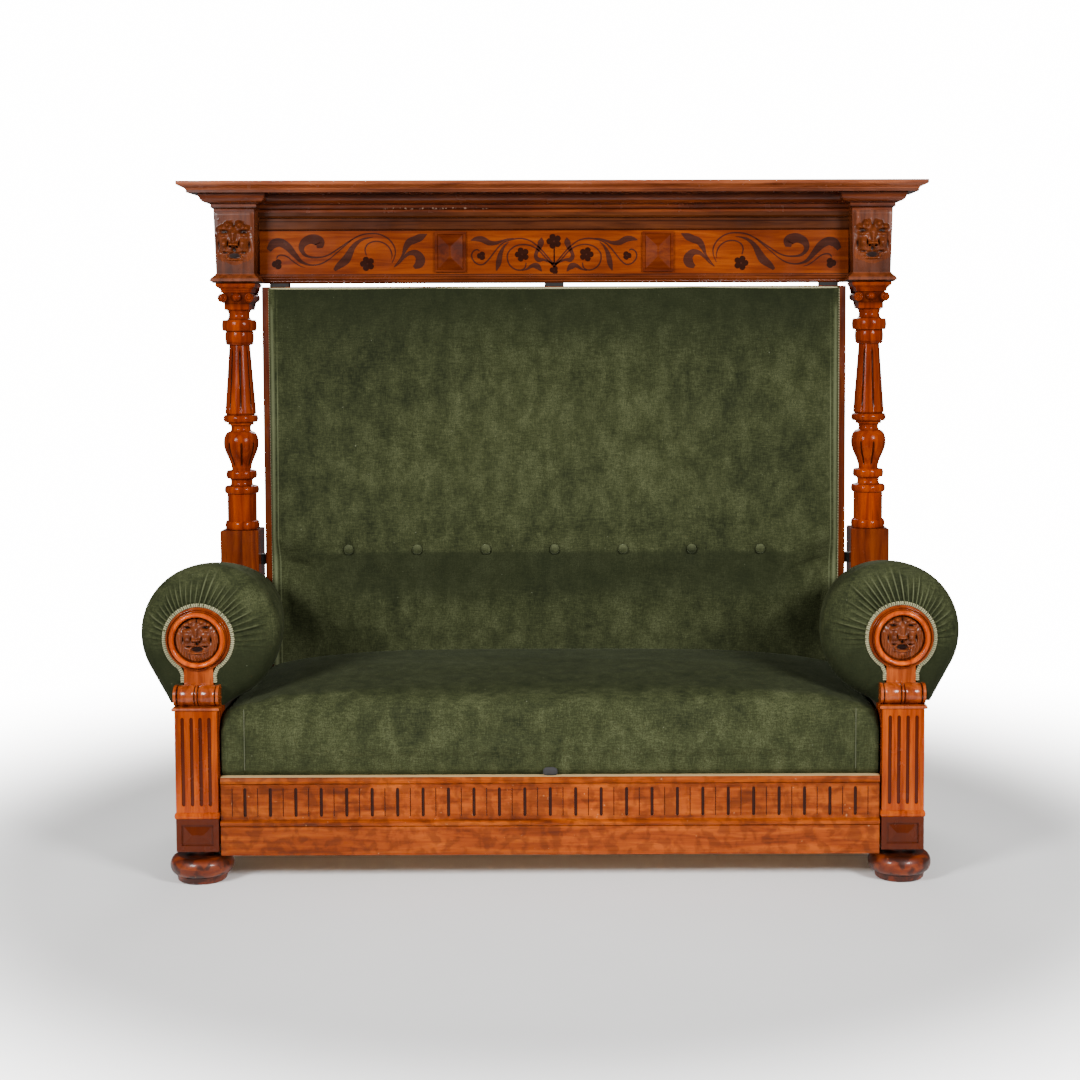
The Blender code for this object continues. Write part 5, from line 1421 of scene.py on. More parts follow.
        # Painted shade in the moulding's hollows.
        dark = np.clip(2.2 * cavity(rows[:, :1] / 0.004, 1.0, 3)[:, 0], 0.0, 1.0)
        back = self.face - high.y
        rows = np.vstack([rows, [(back, top), (back, 0.0)]])
        coping = ColumnOrder.moulding()
        slack = 0.0008
        end = POST_X - slack - np.interp(rows[:, 1], coping[:, 1], coping[:, 0])
        loops = [stacked(x, self.face - rows[:, 0], low.z + rows[:, 1]) for x in (-end, end)]
        caps = [np.broadcast_to(loop.mean(axis=0), loop.shape) for loop in loops]
        tone = np.broadcast_to(np.concatenate([dark, [0.0, 0.0]]), (4, len(rows)))
        surface = Surface().grid(np.stack([caps[0], *loops, caps[1]]), Wrap.COLUMNS, tone)
        surface.place("frieze_foot", wood, "polished_walnut", replaced=[node], sharp=40)

    def panel(
        self, surface: Surface, start: float, width: float, strokes: tuple, flowers: tuple, mirror: int
    ) -> None:
        """Adds one panel's strokes and flowers, mirrored about the sofa's centre line if asked.

        Args:
            surface: Where the inlay gathers.
            start: X of the panel's left end.
            width: Its length.
            strokes: Curves with their half widths.
            flowers: Places and sizes of the flowers.
            mirror: 1, or -1 for the mirrored panel.
        """
        scale = width / 1000.0
        plane = self.face - 0.0001
        for rows in strokes:
            line = spline(rows, 14 * len(rows)) * scale
            x, z, half = start + line[:, 0], self.panel_low + line[:, 1], np.maximum(line[:, 2], 0.0003)
            along = np.gradient(stacked(x, z), axis=0)
            along /= np.maximum(np.linalg.norm(along, axis=1, keepdims=True), 1e-9)
            dx, dz = -along[:, 1] * half, along[:, 0] * half
            near, far = plane - self.thickness, plane + self.let_in
            corners = ((1, near), (-1, near), (-1, far), (1, far))
            grid = np.stack([stacked(x + k * dx, y, z + k * dz) for k, y in corners], axis=1)
            surface.grid(capped(grid) * (mirror, 1, 1), Wrap.COLUMNS)
        for along, up, size, petals in flowers:
            grid, tone = self.flower(size * scale, petals, plane)
            grid = (grid + (start + along * scale, 0.0, self.panel_low + up * scale)) * (mirror, 1, 1)
            surface.grid(grid, Wrap.COLUMNS, tone)

    def flower(self, size: float, petals: int, plane: float) -> tuple[Array, Array]:
        """Lobed disc of radius size * (0.64 + 0.36 |cos(petals a / 2)|^0.6), with a pale ring at its eye."""
        angle = np.linspace(0.0, 2 * np.pi, 120, endpoint=False)
        lobe = size * (0.64 + 0.36 * np.abs(np.cos(petals * angle / 2 + np.pi / 2 * (petals % 2))) ** 0.6)
        share = np.array([0.0, 0.08, 0.10, 0.13, 0.4, 0.7, 1.0, 1.0, 0.0])[:, None]
        near, far = plane - self.thickness, plane + self.let_in
        depth = np.array([near] * 7 + [far] * 2)[:, None]
        radius = share * lobe
        grid = stacked(radius * np.cos(angle), depth, radius * np.sin(angle))
        tone = np.where((share > 0.0) & (share < 0.12), 0.0, 0.75) + 0 * radius
        return grid, tone


# Upholstery


@dataclass
class ArmUpholstery:
    """Velvet arm roll: a drop that thins out to the rear, gathered round the keyhole facing and braided.

    Sections lie in planes square to Y, with x counted outward from the facing's centre and angles from
    straight down, positive to the outside.
    """

    side: Side
    facing_radius: float = 0.0798
    facing_neck: float = 0.0378
    drop: float = 0.1627
    radius: float = 0.166
    tail: float = 0.085
    taper: float = 1.4
    inset: float = 0.019
    rise: float = 0.007
    foot_in: float = 0.055
    foot_out: float = 0.078
    shoulder: float = 0.060
    pleats: int = 54
    pleat_depth: float = 0.0072

    def build(self, velvet: Material, gimp: Material) -> None:
        """Makes the roll, its braid and the covered panel below it."""
        node = f"arm_roll_{self.side.tag}"
        low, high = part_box(node)
        self.lip, self.rear = low.y, high.y
        low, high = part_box(f"arm_medallion_{self.side.tag}")
        self.centre = np.array([(low.x + high.x) / 2, 0.0, (low.z + high.z) / 2])
        points, tone = self.roll()
        surface = Surface().grid(points, Wrap.COLUMNS, tone)
        name = f"arm_velvet_{self.side.tag}"
        piece = surface.place(name, velvet, "olive_velvet", replaced=[node], sharp=60)
        grid, tone = braid(self.edge(), np.array([0.0, -1.0, 0.0]), 0.0084, 0.0030, 0.0050)
        Surface().grid(grid, Wrap.COLUMNS, tone).place(f"arm_gimp_{self.side.tag}", gimp, "olive_velvet")
        self.panel(velvet)

    def keyhole(self, angles: Array) -> Array:
        """Distance from the facing's centre to its edge: a disc with a neck down to its foot."""
        angles = np.abs(angles)
        crotch = math.asin(self.facing_neck / self.facing_radius)
        foot = math.atan2(self.facing_neck, self.drop)
        neck = self.facing_neck / np.maximum(np.sin(angles), 1e-6)
        base = self.drop / np.maximum(np.cos(angles), 1e-6)
        return np.where(angles <= foot, base, np.where(angles < crotch, neck, self.facing_radius))

    def pear(self, angles: Array, depth: Array) -> Array:
        """Distance from the roll's centre to its section: a circle whose tangents run down to its foot.

        The circle's radius falls from the gathers (depth 0) to the rear (depth 1) by depth^taper.
        """
        radius = self.radius - (self.radius - self.tail) * depth**self.taper
        drop = self.drop + self.rise
        outside = self.foot_out + (self.foot_in - self.foot_out) * depth + self.inset
        half = np.where(angles > 0.0, outside, self.foot_in - self.inset)
        angles = np.abs(angles)
        foot = np.arctan2(half, drop)
        tangent = foot + np.arccos(radius / np.hypot(half, drop))
        base = drop / np.maximum(np.cos(angles), 1e-6)
        flank = radius / np.maximum(np.cos(tangent - angles), 1e-6)
        return np.where(angles <= foot, base, np.where(angles < tangent, flank, radius))

    def roll(self) -> tuple[Array, Array]:
        """Grid of the roll: sections from the facing's edge out over the shoulder and back to the post.

        Over the shoulder the section swells as a quarter sine while it moves back as a quarter cosine.
        Gathers stand on its normals: one ridge for each pleat, deepest at the facing, each fading out
        at a length of its own.

        Returns:
            The closed grid and its tone.
        """
        angles = np.linspace(-np.pi, np.pi, 13 * self.pleats, endpoint=False)
        t = np.concatenate([np.linspace(0.0, 1.0, 46), np.linspace(1.0, 2.0, 26)[1:]])[:, None]
        over = np.minimum(t, 1.0) * np.pi / 2
        back = np.clip(t - 1.0, 0.0, 1.0)
        start = self.lip - 0.001
        y = start + self.shoulder * (1 - np.cos(over)) + (self.rear - start - self.shoulder) * back
        near = self.section(angles, self.keyhole(angles) + 0 * t, y)
        far = self.section(angles, self.pear(angles, back), y, -self.inset, self.rise)
        points = near + (far - near) * np.sin(over)[..., None]
        wave = self.pleats * angles / (2 * np.pi)
        wave = wave + 0.30 * np.sin(2 * angles + 0.7) + 0.22 * np.sin(5 * angles)
        count = np.floor(wave).astype(int)
        # The second number is the painted sheen on the roll's top.
        seed, wear_and_sheen = (11, 0.07) if self.side is Side.LEFT else (23, 0.16)
        rng = np.random.default_rng(seed)
        strength = rng.uniform(0.50, 1.0, self.pleats)[count % self.pleats]
        length = rng.uniform(0.46, 0.82, self.pleats)[count % self.pleats]
        ridge = hump(wave - count, 0.5, 0.22) - 0.35
        fade = (1.0 - smoothstep(t / length, 0.35, 1.0)) * smoothstep(np.abs(angles), 1.20, 1.62)
        lean = normals(points, True)
        outward = np.sign(np.sum(lean * (points - self.centre - (0.0, self.rear, 0.0)), axis=-1))
        points = points + lean * (outward * self.pleat_depth * strength * ridge * fade)[..., None]
        # Painted light on the velvet: painted shade in the pleats' creases, under the roll and at the gathers
        # by the facing; painted highlight on the pleats' ridges, and painted sheen on the roll's top,
        # stronger on the right arm.
        crease = 0.9 * fade * strength * (1.0 - hump(wave - count, 0.5, 0.30))
        under = 0.95 * (1.0 - smoothstep(np.abs(angles), 0.9, 2.1))
        rubbed_and_painted_light = 0.55 * fade * strength * hump(wave - count, 0.5, 0.17)
        rubbed_and_painted_light = rubbed_and_painted_light + wear_and_sheen * smoothstep(np.abs(angles), 2.1, 2.9)
        tone = np.maximum(np.maximum(crease, under), 0.35 * hump(t, 0.0, 0.05)) - rubbed_and_painted_light
        tuck = self.section(angles, self.keyhole(angles) - 0.004, np.full((1, 1), start + 0.012))
        centre = self.centre + (0.0, start + 0.012, 0.0)
        rear = self.centre + (0.0, self.rear, 0.0)
        caps = [np.broadcast_to(p, (1, len(angles), 3)) for p in (centre, rear)]
        grid = np.concatenate([caps[0], tuck, points, caps[1]])
        return grid, np.concatenate([tone[:1], tone[:1], tone, tone[-1:]])

    def section(self, angles: Array, reach: Array, y: Array, x: float = 0.0, z: float = 0.0) -> Array:
        """Points at a reach round the centre (x, z), which is given from the facing's, at a depth y."""
        across = self.centre[0] + self.side.value * (x + reach * np.sin(angles))
        up = self.centre[2] + z - reach * np.cos(angles)
        return stacked(across, y, up)

    def edge(self) -> Array:
        """Centre line of the braid: up the neck, round the disc and down the neck again."""
        radius, neck = self.facing_radius + 0.0015, self.facing_neck + 0.0008
        crotch = math.asin(neck / radius)
        turn = np.linspace(crotch + 0.10, 2 * np.pi - crotch - 0.10, 60)
        disc = stacked(-radius * np.sin(turn), -radius * np.cos(turn))
        foot = 0.060 - self.drop
        fall = np.linspace(foot, -radius * math.cos(crotch) - 0.012, 5)
        left = stacked(-neck, fall)
        right = (left * (-1, 1))[::-1]
        line = spline(np.vstack([left, disc, right]), 1150)
        return stacked(self.centre[0] + line[:, 0], self.lip - 0.0012, self.centre[2] + line[:, 1])

    def panel(self, velvet: Material) -> None:
        """Covered panel outside the side rail: a shallow pillow, flat where it rests on the rail."""
        node = f"side_panel_{self.side.tag}"
        low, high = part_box(node)
        u, v = np.linspace(-1.0, 1.0, 60)[None], np.linspace(-1.0, 1.0, 50)[:, None]
        bulge = arch(u, 14) * arch(v, 14)
        deep = high.x - low.x
        out = (0.72 + 0.28 * bulge * (0.82 + 0.18 * (1 - u**2) * (1 - v**2))) * deep
        x = low.x + out if self.side is Side.RIGHT else high.x - out
        y = (low.y + high.y) / 2 + u * (high.y - low.y) / 2
        z = (low.z + high.z) / 2 + v * (high.z - low.z) / 2
        front = stacked(x, y, z)
        back = low.x if self.side is Side.RIGHT else high.x
        piece = (
            Surface()
            .grid(closed_slab(front, back, 0))
            .place(f"side_velvet_{self.side.tag}", velvet, "olive_velvet", replaced=[node], sharp=60)
        )


@dataclass
class BackUpholstery:
    """Velvet back: fullest at its row of buttons, drawn in along its edges, with a dotted gimp."""

    face: float = FRONT + 0.601
    ridge: float = 0.731
    buttons: int = 7
    pitch: float = 0.179
    button_radius: float = 0.0125
    tuft_depth: float = 0.013
    tuft_spread: float = 0.019
    border: float = 0.025
    reveal: float = 0.0105
    fullest: float = 0.085
    tight: float = 0.706
    arm_top: float = 0.685
    seat_top: float = 0.465

    def build(self, velvet: Material, button: Material, gimp: Material) -> None:
        """Makes the cushion, swells it and sews on its buttons, piping and gimp."""
        low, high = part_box("back_cushion")
        self.half, self.foot, self.head = high.x - self.reveal, low.z, high.z
        x, z = self.lattice()
        plane = self.face - 0.0003
        front = stacked(x, plane - self.thickness(x, z), z)
        # The tone paints light and shade on the velvet.
        tone = np.pad(self.painted_shade_and_highlight(x, z), 2, mode="edge")
        surface = Surface().grid(closed_slab(front, plane, 1), tone=tone)
        piece = surface.place("back_velvet", velvet, "olive_velvet", replaced=["back_cushion"], sharp=70)
        place = points_of(piece)
        near = np.min(np.abs(place[:, :1] - self.places()), axis=1)
        sewn = np.hypot(near, place[:, 2] - self.ridge) < 0.014
        rim = np.maximum(np.abs(place[:, 0]) - self.half + 0.012, 0.0) + (place[:, 2] > self.head - 0.012)
        stuck = (place[:, 1] > self.face - 0.012) | (place[:, 2] < self.seat_top + 0.05)
        stuff(piece, sewn | stuck | (rim > 0.0) | (np.abs(place[:, 0]) > self.tight), cap=0.008)
        self.sew_buttons(button)
        self.trim(gimp)

    def places(self) -> Array:
        """X of the buttons."""
        return (np.arange(self.buttons) - (self.buttons - 1) / 2) * self.pitch

    def lattice(self) -> tuple[Array, Array]:
        """X and Z of the cushion's grid, closer together along its edges."""
        u, v = np.linspace(-1.0, 1.0, 239), np.linspace(0.0, 1.0, 151)
        edge = self.half - np.linspace(0.0, 0.030, 21)
        x = np.concatenate([-edge, u * (self.half - 0.033), edge[::-1]])
        z = self.foot + (self.head - self.foot) * (0.93 * v + 0.07 * (1 - np.cos(np.pi * v)) / 2)
        return np.meshgrid(x, z)

    def thickness(self, x: Array, z: Array) -> Array:
        """How far the cushion stands off its frame.

        Up the back the fill follows a row of depths, fullest at the buttons; across, it dies
        off as a flat arch, and below the arms it thins out where they press on it. Each button pulls
        in a bell-shaped tuft with creases that radiate from it.

        Args:
            x: Place across.
            z: Place up.

        Returns:
            Thickness over the grid.
        """
        foot, head, ridge = self.foot, self.head, self.ridge
        seat = self.seat_top + 0.010
        level = [foot, foot + 0.012, seat, seat + 0.06, ridge - 0.07, ridge - 0.030, ridge - 0.006]
        fill = [0.020, 0.036, 0.044, 0.057, 0.064, 0.072, 0.084]
        upper = np.array([0.02, 0.08, 0.20, 0.40, 0.60, 0.80, 0.93, 0.985, 1.0])
        level += list(ridge + (head - ridge) * upper)
        fill += [self.fullest, 0.082, 0.072, 0.060, 0.050, 0.044, 0.040, 0.032, 0.014]
        rows = softened(np.interp(z[:, 0], level, fill), 6)[:, None]
        wide = arch(x / (self.half + 0.0005), 12)
        snug = smoothstep(self.tight - np.abs(x), 0.0, 0.10)
        share = smoothstep(z, self.arm_top - 0.004, self.arm_top + 0.085)
        full = snug + (wide - snug) * share
        base = np.minimum(rows, self.border)
        thick = base + (rows - base) * full
        away = np.abs(x[..., None] - self.places())
        near = np.argmin(away, axis=-1)
        dx = x - self.places()[near]
        dz = z - ridge
        distance = np.hypot(dx, dz)
        spoke = np.cos(7.0 * np.arctan2(dz, dx) + near)
        thick = thick - self.tuft_depth * hump(distance, 0.0, self.tuft_spread)
        thick = thick + 0.0011 * spoke * hump(distance, 0.030, 0.020)
        slack = 0.0016 * np.sin(9.0 * x + 2.0 * np.sin(5.0 * z)) * np.sin(7.0 * z + 1.0)
        pull = -0.0035 * hump(z, ridge, 0.010) * (1.0 - hump(dx, 0.0, 0.04)) * full
        return thick + (slack + pull) * full

    def painted_shade_and_highlight(self, x: Array, z: Array) -> Array:
        """Tone of the pile, as painted light: painted shade in a band below the buttons, towards the head and
        in a line inside the border; painted highlight on the border, low down and across the upper back; a
        pale seam line.
        """
        under = smoothstep(z, self.ridge - 0.190, self.ridge - 0.080)
        inward = self.half - np.abs(x)
        patchy = 0.88 + 0.12 * np.sin(11.0 * x + 1.3) * np.sin(4.0 * x)
        band = smoothstep(self.ridge + 0.004 - z, 0.0, 0.018) * under * patchy
        band = band * smoothstep(inward, 0.03, 0.19)
        dark = np.maximum(0.80 * band, 0.90 * smoothstep(z, 1.10, 1.46))
        rubbed_and_painted_light = 0.62 * hump(inward, 0.009, 0.006) + 0.60 * hump(inward, 0.0215, 0.0016)
        rubbed_and_painted_light = rubbed_and_painted_light * smoothstep(self.head - z, 0.020, 0.070)
        rubbed_and_painted_light = rubbed_and_painted_light + 0.08 * smoothstep(self.ridge - z, 0.15, 0.19) + 0.05 * hump(z, 1.10, 0.05)
        return dark * smoothstep(inward, 0.0, 0.03) - rubbed_and_painted_light + 0.35 * hump(inward, 0.0175, 0.0018)

    def sew_buttons(self, velvet: Material) -> None:
        """Covered buttons: low domes that sit in the tufts, tipped by different amounts."""
        t = np.linspace(0.0, np.pi / 2, 14)
        r = self.button_radius
        rim = [(r * 0.80, 0.0), (r * 0.98, 0.0020), (r, 0.0035)]
        profile = np.vstack([rim, stacked(r * np.cos(t), 0.0035 + 0.0062 * np.sin(t))[1:-1]])
        dome = facing(lathe(profile, 40))
        # Painted highlight on each button's top and painted shade on its lower side.
        shade = -0.14 - 0.26 * dome[..., 2] / r
        surface = Surface()
        for index, x in enumerate(self.places()):
            tip = 0.10 * math.sin(2.3 * index + 0.6)
            turn = np.array(Matrix.Rotation(tip, 3, "Z") @ Matrix.Rotation(0.7 * tip, 3, "X"))
            place = np.array([x, self.face - self.fullest + 0.0095, self.ridge])
            surface.grid(dome @ turn.T + place, Wrap.COLUMNS, shade)
        surface.place("back_buttons", velvet, "olive_velvet")

    def trim(self, gimp: Material) -> None:
        """Gimp down both sides and a welt along the top edge."""
        surface = Surface()
        lift = np.array([0.0, -1.0, 0.0])
        z = np.linspace(self.foot + 0.02, self.head - 0.004, 1000)
        for side in (-1, 1):
            path = stacked(side * (self.half + 0.0028), self.face - 0.0006, z)
            grid, tone = braid(path, lift, 0.0050, 0.0030, 0.0068)
            surface.grid(grid, Wrap.COLUMNS, tone)
        surface.place("back_gimp", gimp, "olive_velvet")
        x = np.linspace(-self.half + 0.002, self.half - 0.002, 240)[:, None]
        turn = np.linspace(0.0, 2 * np.pi, 14, endpoint=False)
        radius = 0.0026 * arch(x / self.half, 60)
        y = self.face - 0.0230 + radius * np.cos(turn)
        z = self.head - 0.0030 + radius * np.sin(turn)
        Surface().grid(stacked(x, y, z), Wrap.COLUMNS).place("back_welt", gimp, "olive_velvet")


@dataclass
class SeatUpholstery:
    """Velvet seat with an upright front, a rounded nose and a crown that falls off to its ends."""

    nose: float = 0.048
    crown: float = 0.012
    side_top: float = 0.395
    front_top: float = 0.443
    rear_top: float = 0.465
    seam: float = 0.722
    heel: float = 0.030
    held_below: float = 0.30
    held_aside: float = 0.69

    def build(self, velvet: Material, seam: Material) -> None:
        """Makes the seat, swells it and sews its two front seams."""
        low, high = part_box("seat_cushion")
        self.half, self.base = high.x, low.z
        self.face, self.rear = low.y, high.y
        x = self.stations()
        grid = capped(self.skin(x[:, None]))
        # Painted shade: the seat's top is darker than its upright front.
        top_shade = 0.60 * smoothstep(grid[..., 1], self.face + 0.25 * self.nose, self.face + 1.6 * self.nose)
        surface = Surface().grid(grid, Wrap.COLUMNS, top_shade)
        piece = surface.place(
            "seat_velvet", velvet, "olive_velvet", Body.DRAWER, ["seat_cushion"], sharp=70
        )
        place = points_of(piece)
        held = (place[:, 2] < self.held_below) | (np.abs(place[:, 0]) > self.held_aside)
        held = held | (place[:, 1] > self.rear - 0.02)
        stuff(piece, held | (np.abs(np.abs(place[:, 0]) - self.seam) < 0.006), cap=0.006)
        self.sew(seam)

    def stations(self) -> Array:
        """Places across the seat, closer together at its ends and seams."""
        even = np.linspace(-1.0, 1.0, 231) * (self.half - 0.0005)
        close = np.linspace(-0.012, 0.012, 13)
        return np.unique(np.round(np.concatenate([even, self.seam + close, -self.seam + close]), 5))

    def skin(self, x: Array) -> Array:
        """Closed section of the seat at each place across.

        Its profile runs up the front, over the nose as a quarter circle, back along a shallow crown
        and down behind; all heights fall off towards the ends as (1 - |x/half|^4)^(1/2).

        Args:
            x: Column of places across.

        Returns:
            Array of (places, section points, 3).
        """
        lift = arch(x / self.half, 4)
        front = self.side_top + (self.front_top - self.side_top) * lift
        back = self.side_top + (self.rear_top - self.side_top) * lift
        lip = self.base + 0.012
        dip = hump(np.abs(x), self.seam, 0.0030)
        face = self.face + 0.0006 + 0.0028 * dip
        t = np.linspace(0.0, 1.0, 26)[1:]
        rise = lip + 0.006 + (front - self.nose - lip - 0.006) * t
        belly = face + 0.003 * (1 - t) ** 3 - 0.0004 * np.sin(np.pi * t)
        a = np.linspace(0.0, np.pi / 2, 16)[1:]
        nose_y, nose_z = face + self.nose * (1 - np.cos(a)), front - self.nose * (1 - np.sin(a))
        s = np.linspace(0.0, 1.0, 40)[1:]
        near, far = face + self.nose, self.rear - self.heel
        top_y = near + (far - near) * s
        top_z = front + (back - front) * s + self.crown * lift * np.sin(np.pi * s)
        ripple = 0.0006 * np.sin(8.0 * x + 3.0 * np.sin(11.0 * s)) * np.sin(np.pi * s) * lift
        top_z = top_z + ripple - 0.0015 * dip * (1 - s) ** 2
        b = np.linspace(0.0, np.pi / 2, 10)[1:]
        rear_y, rear_z = far + self.heel * np.sin(b) + 0 * x, back - self.heel * (1 - np.cos(b))
        foot_y = stacked(face[:, 0] + 0.014, face[:, 0] + 0.012, face[:, 0] + 0.004)
        foot_z = np.broadcast_to([self.base, lip, lip + 0.006], foot_y.shape)
        tail_y = np.broadcast_to([self.rear, self.rear - 0.004], (len(x), 2))
        tail_z = np.broadcast_to([lip + 0.010, self.base], (len(x), 2))
        y = np.concatenate([foot_y, belly, nose_y, top_y + 0 * x, rear_y, tail_y], axis=1)
        z = np.concatenate([foot_z, rise, nose_z, top_z, rear_z, tail_z], axis=1)
        return stacked(x, y, z)

    def sew(self, thread: Material) -> None:
        """Seam cords up the front at both ends of the seat."""
        surface = Surface()
        z = np.linspace(self.base + 0.022, self.front_top - 0.030, 160)[:, None]
        turn = np.linspace(0.0, 2 * np.pi, 10, endpoint=False)
        radius = 0.0009 * arch(np.linspace(-1, 1, 160)[:, None], 40)
        for side in (-1, 1):
            x = side * self.seam + radius * np.cos(turn)
            y = self.face + 0.0030 + radius * np.sin(turn)
            surface.grid(stacked(x, y, z), Wrap.COLUMNS)
        surface.place("seat_seams", thread, "olive_velvet", Body.DRAWER)


# Drawer, frame and hidden parts


@dataclass
class BedDrawer:
    """Drawer that carries the seat: its front, box, webbing, pull and turn-down feet."""

    straps_across: int = 2
    straps_along: int = 7
    strap: float = 0.055
    ply: float = 0.0012
    weave: float = 0.0014

    def build(
        self,
        front: Material,
        beech_x: Material,
        beech_y: Material,
        jute: Material,
        leather: Material,
    ) -> None:
        """Finishes the boards, weaves the webbing and shapes the pull."""
        dress("drawer_front", front)
        for node in ("drawer_back", "drawer_bottom", "seat_rail_front", "seat_rail_rear"):
            dress(node, beech_x)
        for side in Side:
            for node in ("drawer_side", "seat_rail"):
                dress(f"{node}_{side.tag}", beech_y)
            dress(f"turn_foot_{side.tag}", beech_x)
        self.webbing(jute)
        self.pull(leather)

    def webbing(self, jute: Material) -> None:
        """Straps that pass over and under each other, as sines of opposite sign where they cross."""
        low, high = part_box("seat_webbing")
        level = (low.z + high.z) / 2
        surface = Surface()
        step_x = (high.x - low.x) / self.straps_along
        step_y = (high.y - low.y) / (self.straps_across + 1)
        side = np.linspace(-1.0, 1.0, 7)[None] * self.strap / 2
        x = np.linspace(low.x, high.x, 260)[:, None]
        for k in range(self.straps_across):
            over = (-1) ** k * self.weave * np.cos(np.pi * ((x - low.x) / step_x - 0.5))
            self.strip(surface, x, low.y + (k + 1) * step_y + side, level + over, 0)
        y = np.linspace(low.y, high.y, 120)[:, None]
        for k in range(self.straps_along):
            over = -((-1) ** k) * self.weave * np.cos(np.pi * ((y - low.y) / step_y - 1.0))
            self.strip(surface, y, low.x + (k + 0.5) * step_x + side, level + over, 1)
        piece = surface.place("woven_webbing", jute, "jute_webbing", Body.DRAWER, ["seat_webbing"])

    def strip(self, surface: Surface, run: Array, side: Array, level: Array, along: int) -> None:
        """Adds one strap that runs along X (0) or Y (1)."""
        run, side, level = np.broadcast_arrays(run, side, level)
        flat = (run, side) if along == 0 else (side, run)
        upper = stacked(*flat, level + self.ply / 2)
        lower = stacked(*flat, level - self.ply / 2)[:, ::-1]
        loop = np.concatenate([upper, lower], axis=1)
        rib = 0.35 * (np.cos(1900.0 * side[:1]) > 0.4)
        rib = np.concatenate([rib, rib[:, ::-1]], axis=1)
        surface.grid(capped(loop), Wrap.COLUMNS, rib)

    def pull(self, leather: Material) -> None:
        """Leather tongue: a rounded tab whose face is a soft dome."""
        low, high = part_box("seat_pull")
        middle, foot = (low.x + high.x) / 2, low.z
        half, tall = (high.x - low.x) / 2, high.z - low.z
        a = np.linspace(0.0, 2 * np.pi, 64, endpoint=False)
        share = np.array([0.0, 0.35, 0.7, 0.88, 0.97, 1.0, 1.0, 0.97, 0.0])[:, None]
        swell = np.array([1.0, 0.97, 0.85, 0.66, 0.42, 0.15, -0.35, -0.5, -0.5])[:, None]
        edge_x = np.sign(np.cos(a)) * np.abs(np.cos(a)) ** 0.7
        edge_z = np.sign(np.sin(a)) * np.abs(np.sin(a)) ** np.where(np.sin(a) < 0, 0.35, 0.9)
        x = middle + half * share * edge_x
        z = foot + tall / 2 + tall / 2 * share * edge_z
        y = (low.y + high.y) / 2 - 0.0032 * swell
        Surface().grid(stacked(x, y, z), Wrap.COLUMNS).place(
            "pull_tab", leather, "pull_leather", Body.DRAWER, ["seat_pull"], sharp=60
        )


@dataclass
class HiddenFrame:
    """Boards and rails that show from behind or below, and the cloth over the back."""

    tack_pitch: float = 0.036

    def build(self, rail: Material, stile: Material, plain: dict[str, Material]) -> None:
        """Finishes the rails, stretches the lining and nails it on.

        Args:
            rail: Polished wood of the back's top rail.
            stile: Polished wood of the back's stiles.
            plain: The other finishes by name, of which it uses beech, iron and linen.
        """
        dress("back_top_rail", rail)
        for node in ("back_bottom_rail", "rear_rail"):
            dress(node, plain["beech_x"])
        for name in ("left", "middle", "right"):
            dress(f"back_top_cleat_{name}", plain["iron"])
        for side in Side:
            dress(f"back_stile_{side.tag}", stile)
            dress(f"back_side_cleat_{side.tag}", plain["iron"])
            dress(f"arm_board_{side.tag}", plain["stained"])
            for node in ("side_rail", "drawer_runner"):
                dress(f"{node}_{side.tag}", plain["beech_y"])
        self.lining(plain["linen"], plain["iron"])

    def lining(self, linen: Material, iron: Material) -> None:
        """Lining cloth: nearly flat, drawn in by its tacks along the edges and slack in the middle."""
        low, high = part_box("back_lining")
        u, v = np.linspace(-1.0, 1.0, 181)[None], np.linspace(-1.0, 1.0, 111)[:, None]
        x = (high.x - 0.003) * u
        z = (low.z + high.z) / 2 + (high.z - low.z - 0.006) / 2 * v
        slack = 0.0035 * (1 - u**8) * (1 - v**8) * (0.6 + 0.4 * np.sin(3.1 * u + 1.7 * v))
        pinch = 0.0006 * np.abs(np.sin(np.pi * x / self.tack_pitch)) * hump(1 - np.abs(v), 0.0, 0.04)
        y = high.y - 0.0008 + slack - pinch
        sheet = stacked(x, y, z)
        piece = Surface().grid(closed_slab(sheet, low.y + 0.0002, 1)).place(
            "back_cloth", linen, "linen_lining", replaced=["back_lining"]
        )
        surface = Surface()
        t = np.linspace(0.0, np.pi / 2, 5)
        head = stacked(0.0042 * np.cos(t), 0.0016 * np.sin(t))
        dome = facing(lathe(head[:-1], 10)) * (1, -1, 1)
        edge = 0.009
        across = np.arange(-0.74, 0.741, self.tack_pitch)
        places = [(x, z) for z in (low.z + edge, high.z - edge) for x in across]
        rises = np.arange(low.z + 0.045, high.z - 0.03, self.tack_pitch)
        places += [(side * (high.x - edge), z) for side in (-1, 1) for z in rises]
        for x, z in places:
            surface.grid(dome + (x, high.y + 0.0002, z), Wrap.COLUMNS)
        surface.place("lining_tacks", iron, "blackened_iron")


# Studio


